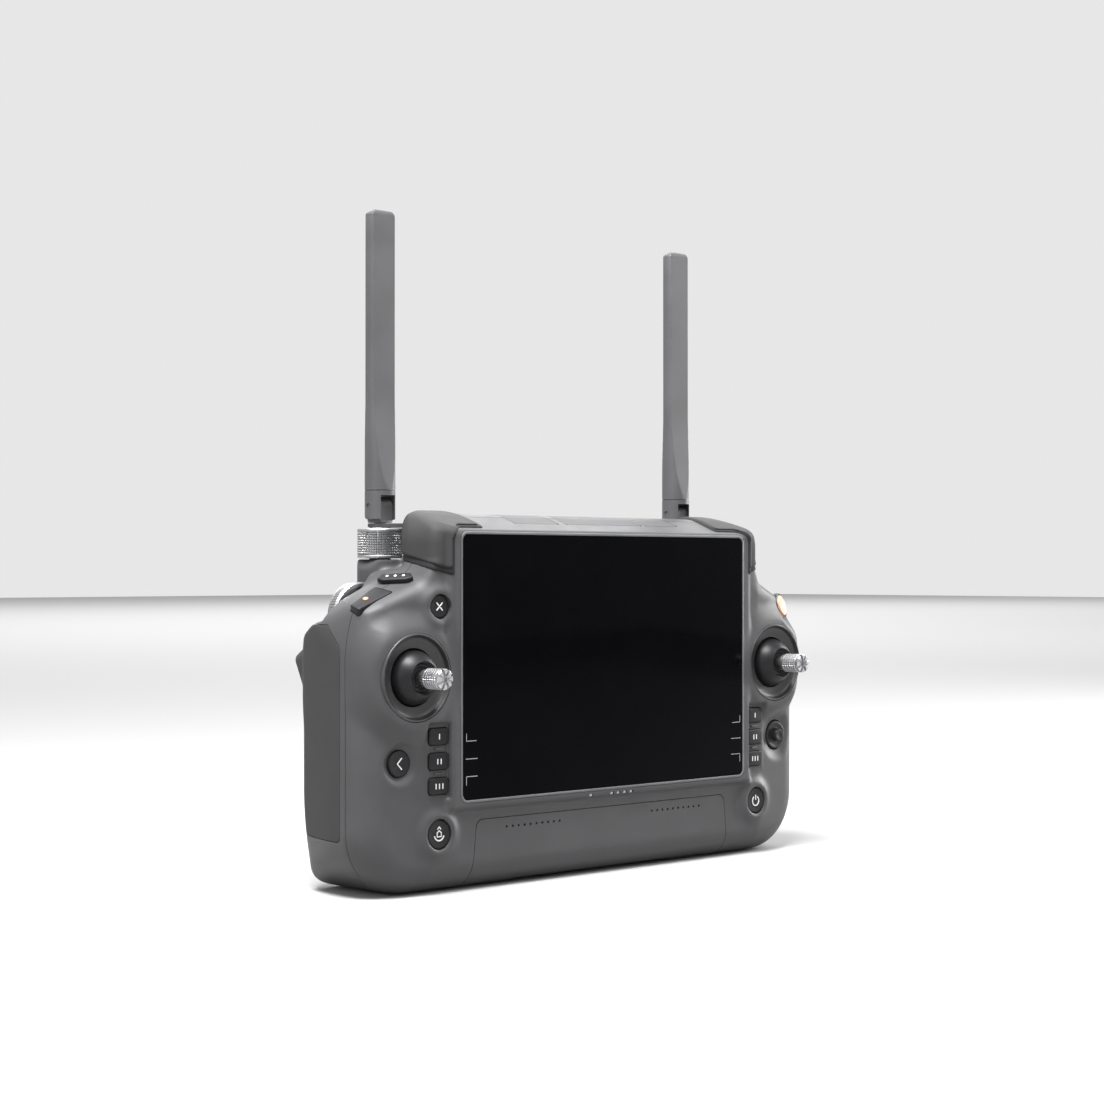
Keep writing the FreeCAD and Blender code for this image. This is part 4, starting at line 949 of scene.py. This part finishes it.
def make_wheel(s, side):
    low, high = WHEEL_Y0 + 0.8, WHEEL_Y1 - 0.8
    profile = [(2.0, 33.0), (2.0, WHEEL_Y0 + 0.6), (11.5, WHEEL_Y0 + 0.6)]
    profile += [(11.9, WHEEL_Y0), (13.3, WHEEL_Y0), (WHEEL_R, WHEEL_Y0 + 0.6)]
    profile += [(WHEEL_R, h) for h in steps_between(low, high, 12)]
    profile += [(WHEEL_R, WHEEL_Y1 - 0.6), (13.3, WHEEL_Y1), (11.9, WHEEL_Y1)]
    profile += [(11.5, WHEEL_Y1 - 0.6), (2.0, WHEEL_Y1 - 0.6)]
    groove = grid_groove(72, 1, low - 0.01, high + 0.01, 0.4)
    place = about("y", s * WHEEL_X, 0, WHEEL_Z)
    wheel = lathe(f"{side}_index_wheel_knurled", profile, place, 72 * 5, groove)
    fit(smooth(wheel), f"{side}_index_wheel", METAL, "knurled_metal", f"{side}_index_wheel")


def blade_ring(x, z, half_thick, half_wide=ANT_R, steps=96, inset=0.0):
    """One level of an antenna: a circle flattened to the blade's thickness."""
    out = []
    for i in range(steps):
        a = 2 * math.pi * i / steps
        u, v = (half_wide - inset) * math.cos(a), (ANT_R - inset) * math.sin(a)
        v = math.copysign(min(abs(v), half_thick - inset), v)
        out.append((x + u, ANT_Y + v, z))
    return out


def make_antenna(s, side):
    x, low = s * ANT_X, PIN_Z - 5.6
    rings = [blade_ring(x, low, ANT_R, inset=0.35), blade_ring(x, low + 0.35, ANT_R)]
    for z in steps_between(low + 1.0, SEAM_Z - 0.4, 8):
        rings.append(blade_ring(x, z, ANT_R + 0.001))
    rings += [blade_ring(x, z, ANT_R, inset=0.22) for z in (SEAM_Z - 0.38, SEAM_Z)]
    start = SEAM_Z + 0.02
    rings.append(blade_ring(x, start, ANT_R))
    half = BLADE_T / 2
    for k in range(1, 25):
        t = k / 24
        z = start + (205.0 - start) * t
        rings.append(blade_ring(x, z, ANT_R + (half - ANT_R) * (1 - (1 - t) ** 1.7)))
    for z in steps_between(210.0, ANT_TOP_Z - 2.2, 8):
        rings.append(blade_ring(x, z, half))
    for k in range(1, 7):
        t = k / 6
        thick = half - 0.9 * (1 - math.sqrt(1 - t * t))
        rings.append(blade_ring(x, ANT_TOP_Z - 2.2 + 2.2 * t, thick, half_wide=ANT_R - 2.0 * t**1.6))
    blade = loft(f"{side}_antenna_blade_moulded", rings)
    boolean(blade, block(x - 3.8, x + 3.8, 30, 70, low - 2, PIN_Z + 4.6))
    curve = [(ANT_Y + v, w, 0) for v, w in arc(0, PIN_Z, 5.6, 270, 360, 12)]
    sweep = [(ANT_Y, low - 2, 0)] + curve + [(ANT_Y + 5.6, PIN_Z + 5.4, 0)]
    sweep += [(ANT_Y + 20, PIN_Z + 5.4, 0), (ANT_Y + 20, low - 2, 0)]
    boolean(blade, prism("sweep", "yz", sweep, x - 20, x + 20))
    boolean(blade, rod("x", 1.3, x - 20, x + 20, (ANT_Y, PIN_Z), 32))
    fit(smooth(blade, 28), f"{side}_antenna", ANTENNA, "antenna_plastic", f"{side}_antenna_blade")


# ---- back -----------------------------------------------------------------------------------------
def make_back():
    outline = [(-59.0, 27.1, 0), (59.0, 27.1, 0), (59.0, 104.0, 3.0), (-59.0, 104.0, 3.0)]
    door = cushion("battery_cover_panel", "xz", outline, (0, 65), BACK_Y, BACK_Y - 2.1, 0.7)
    grooves = [block(-40, 40, BACK_Y - 0.5, 60, z, z + 1.0) for z in (90.0, 93.0, 96.0)]
    boolean(door, join(grooves))
    hinge = rod("x", 1.05, -52.0, 52.0, (50.85, 27.1), 24)
    boolean(door, hinge, "UNION")
    fit(smooth(door), "battery_cover", SHELL, "shell_plastic", "battery_cover")
    for s, side in ((-1, "left"), (1, "right")):
        profile = [(5.0, 53.2), (5.0, 59.5), (4.8, 60.0), (4.3, 60.2), (3.2, 60.1), (0.05, 59.8)]
        place = about("y", s * REAR_BUTTON_X, 0, REAR_BUTTON_Z)
        cap = lathe(f"{side}_rear_button_cap", profile, place, 64)
        fit(smooth(cap), f"{side}_rear_button", BUTTON, "button_plastic", f"{side}_rear_button")


KEPT = {  # nodes shown as their CAD shape, and their material
    "display_module": DARK,
    "left_yoke": DARK,
    "right_yoke": DARK,
    "left_antenna_swivel": ANTENNA,
    "right_antenna_swivel": ANTENNA,
    "left_antenna_bracket": SHELL,
    "right_antenna_bracket": SHELL,
    "case_screws": STEEL,
    "port_sockets": SOCKET,
    "port_tray": DARK,
    "main_board": BOARD,
    "battery": WRAP,
    "heat_sink": DARK,
    "five_way_cradle": DARK,
    "five_way_plunger": DARK,
    "cover_latch": BUTTON,
}


def finish_kept():
    for name, material in KEPT.items():
        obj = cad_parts[name]
        if not obj.material_slots:
            obj.data.materials.append(material)
        for slot in obj.material_slots:
            slot.link = "OBJECT"
            slot.material = material


make_front()
make_rear()
bpy.data.objects.remove(case)
make_port_covers()
make_bumpers()
make_screen()
make_buttons()
make_shoulder()
for side_name, sign in SIDES.items():
    make_stick(sign, side_name)
    make_dial(sign, side_name)
    make_wheel(sign, side_name)
    make_antenna(sign, side_name)
make_back()
finish_kept()


# ---- studio ---------------------------------------------------------------------------------------
def floor():
    mesh = bpy.data.meshes.new("floor")
    far = 9.0
    corners = [(-far, -far, 0), (far, -far, 0), (far, far, 0), (-far, far, 0)]
    mesh.from_pydata(corners, [], [(0, 1, 2, 3)])
    obj = bpy.data.objects.new("floor", mesh)
    bpy.context.scene.collection.objects.link(obj)
    obj.location.z = CAD_BOX[0][2] - 0.0004
    pale = finish("pale_floor", (0.36, 0.36, 0.36), 0.9, spread=0.01, bump=0.0, wear_and_highlight=0.0, specular=0.1)
    obj.data.materials.append(pale)


def lamp(name, location, target, size, power, colour=(1, 1, 1)):
    data = bpy.data.lights.new(name, "AREA")
    data.shape = "RECTANGLE"
    data.size, data.size_y = size
    data.energy = power
    data.color = colour
    obj = bpy.data.objects.new(name, data)
    bpy.context.scene.collection.objects.link(obj)
    obj.location = location
    obj.rotation_euler = (Vector(target) - Vector(location)).to_track_quat("-Z", "Y").to_euler()


def studio():
    floor()
    lamp("key_softbox", (0.35, -1.15, 1.35), (0, 0, 0.1), (0.6, 0.5), 8)
    lamp("right_softbox", (1.55, -0.25, 0.55), (0, 0, 0.1), (0.4, 0.9), 26)
    lamp("top_softbox", (-0.35, -0.16, 1.0), (0, 0, 0.1), (0.5, 0.4), 36)
    lamp("left_softbox", (-1.5, -0.15, 0.5), (0, 0, 0.1), (0.4, 0.8), 3)
    lamp("floor_light_near", (1.9, 2.0, 2.2), (1.9, 2.0, 0), (3.0, 3.0), 70)
    lamp("floor_light_far", (4.2, 4.4, 2.9), (4.2, 4.4, 0), (6.0, 3.0), 240)
    bpy.context.scene.view_settings.view_transform = "Standard"
    world = bpy.data.worlds.new("studio")
    world.use_nodes = True
    background = world.node_tree.nodes["Background"]
    background.inputs["Color"].default_value = (1.0, 1.0, 1.0, 1)
    background.inputs["Strength"].default_value = 0.80
    bpy.context.scene.world = world
    data = bpy.data.cameras.new("camera")
    data.sensor_width, data.lens = 36, 72.28
    camera = bpy.data.objects.new("camera", data)
    bpy.context.scene.collection.objects.link(camera)
    camera.location = (-0.6839, -0.7092, 0.1309)
    camera.rotation_euler = (math.radians(90.49), 0, -math.radians(43.69))
    bpy.context.scene.camera = camera


studio()
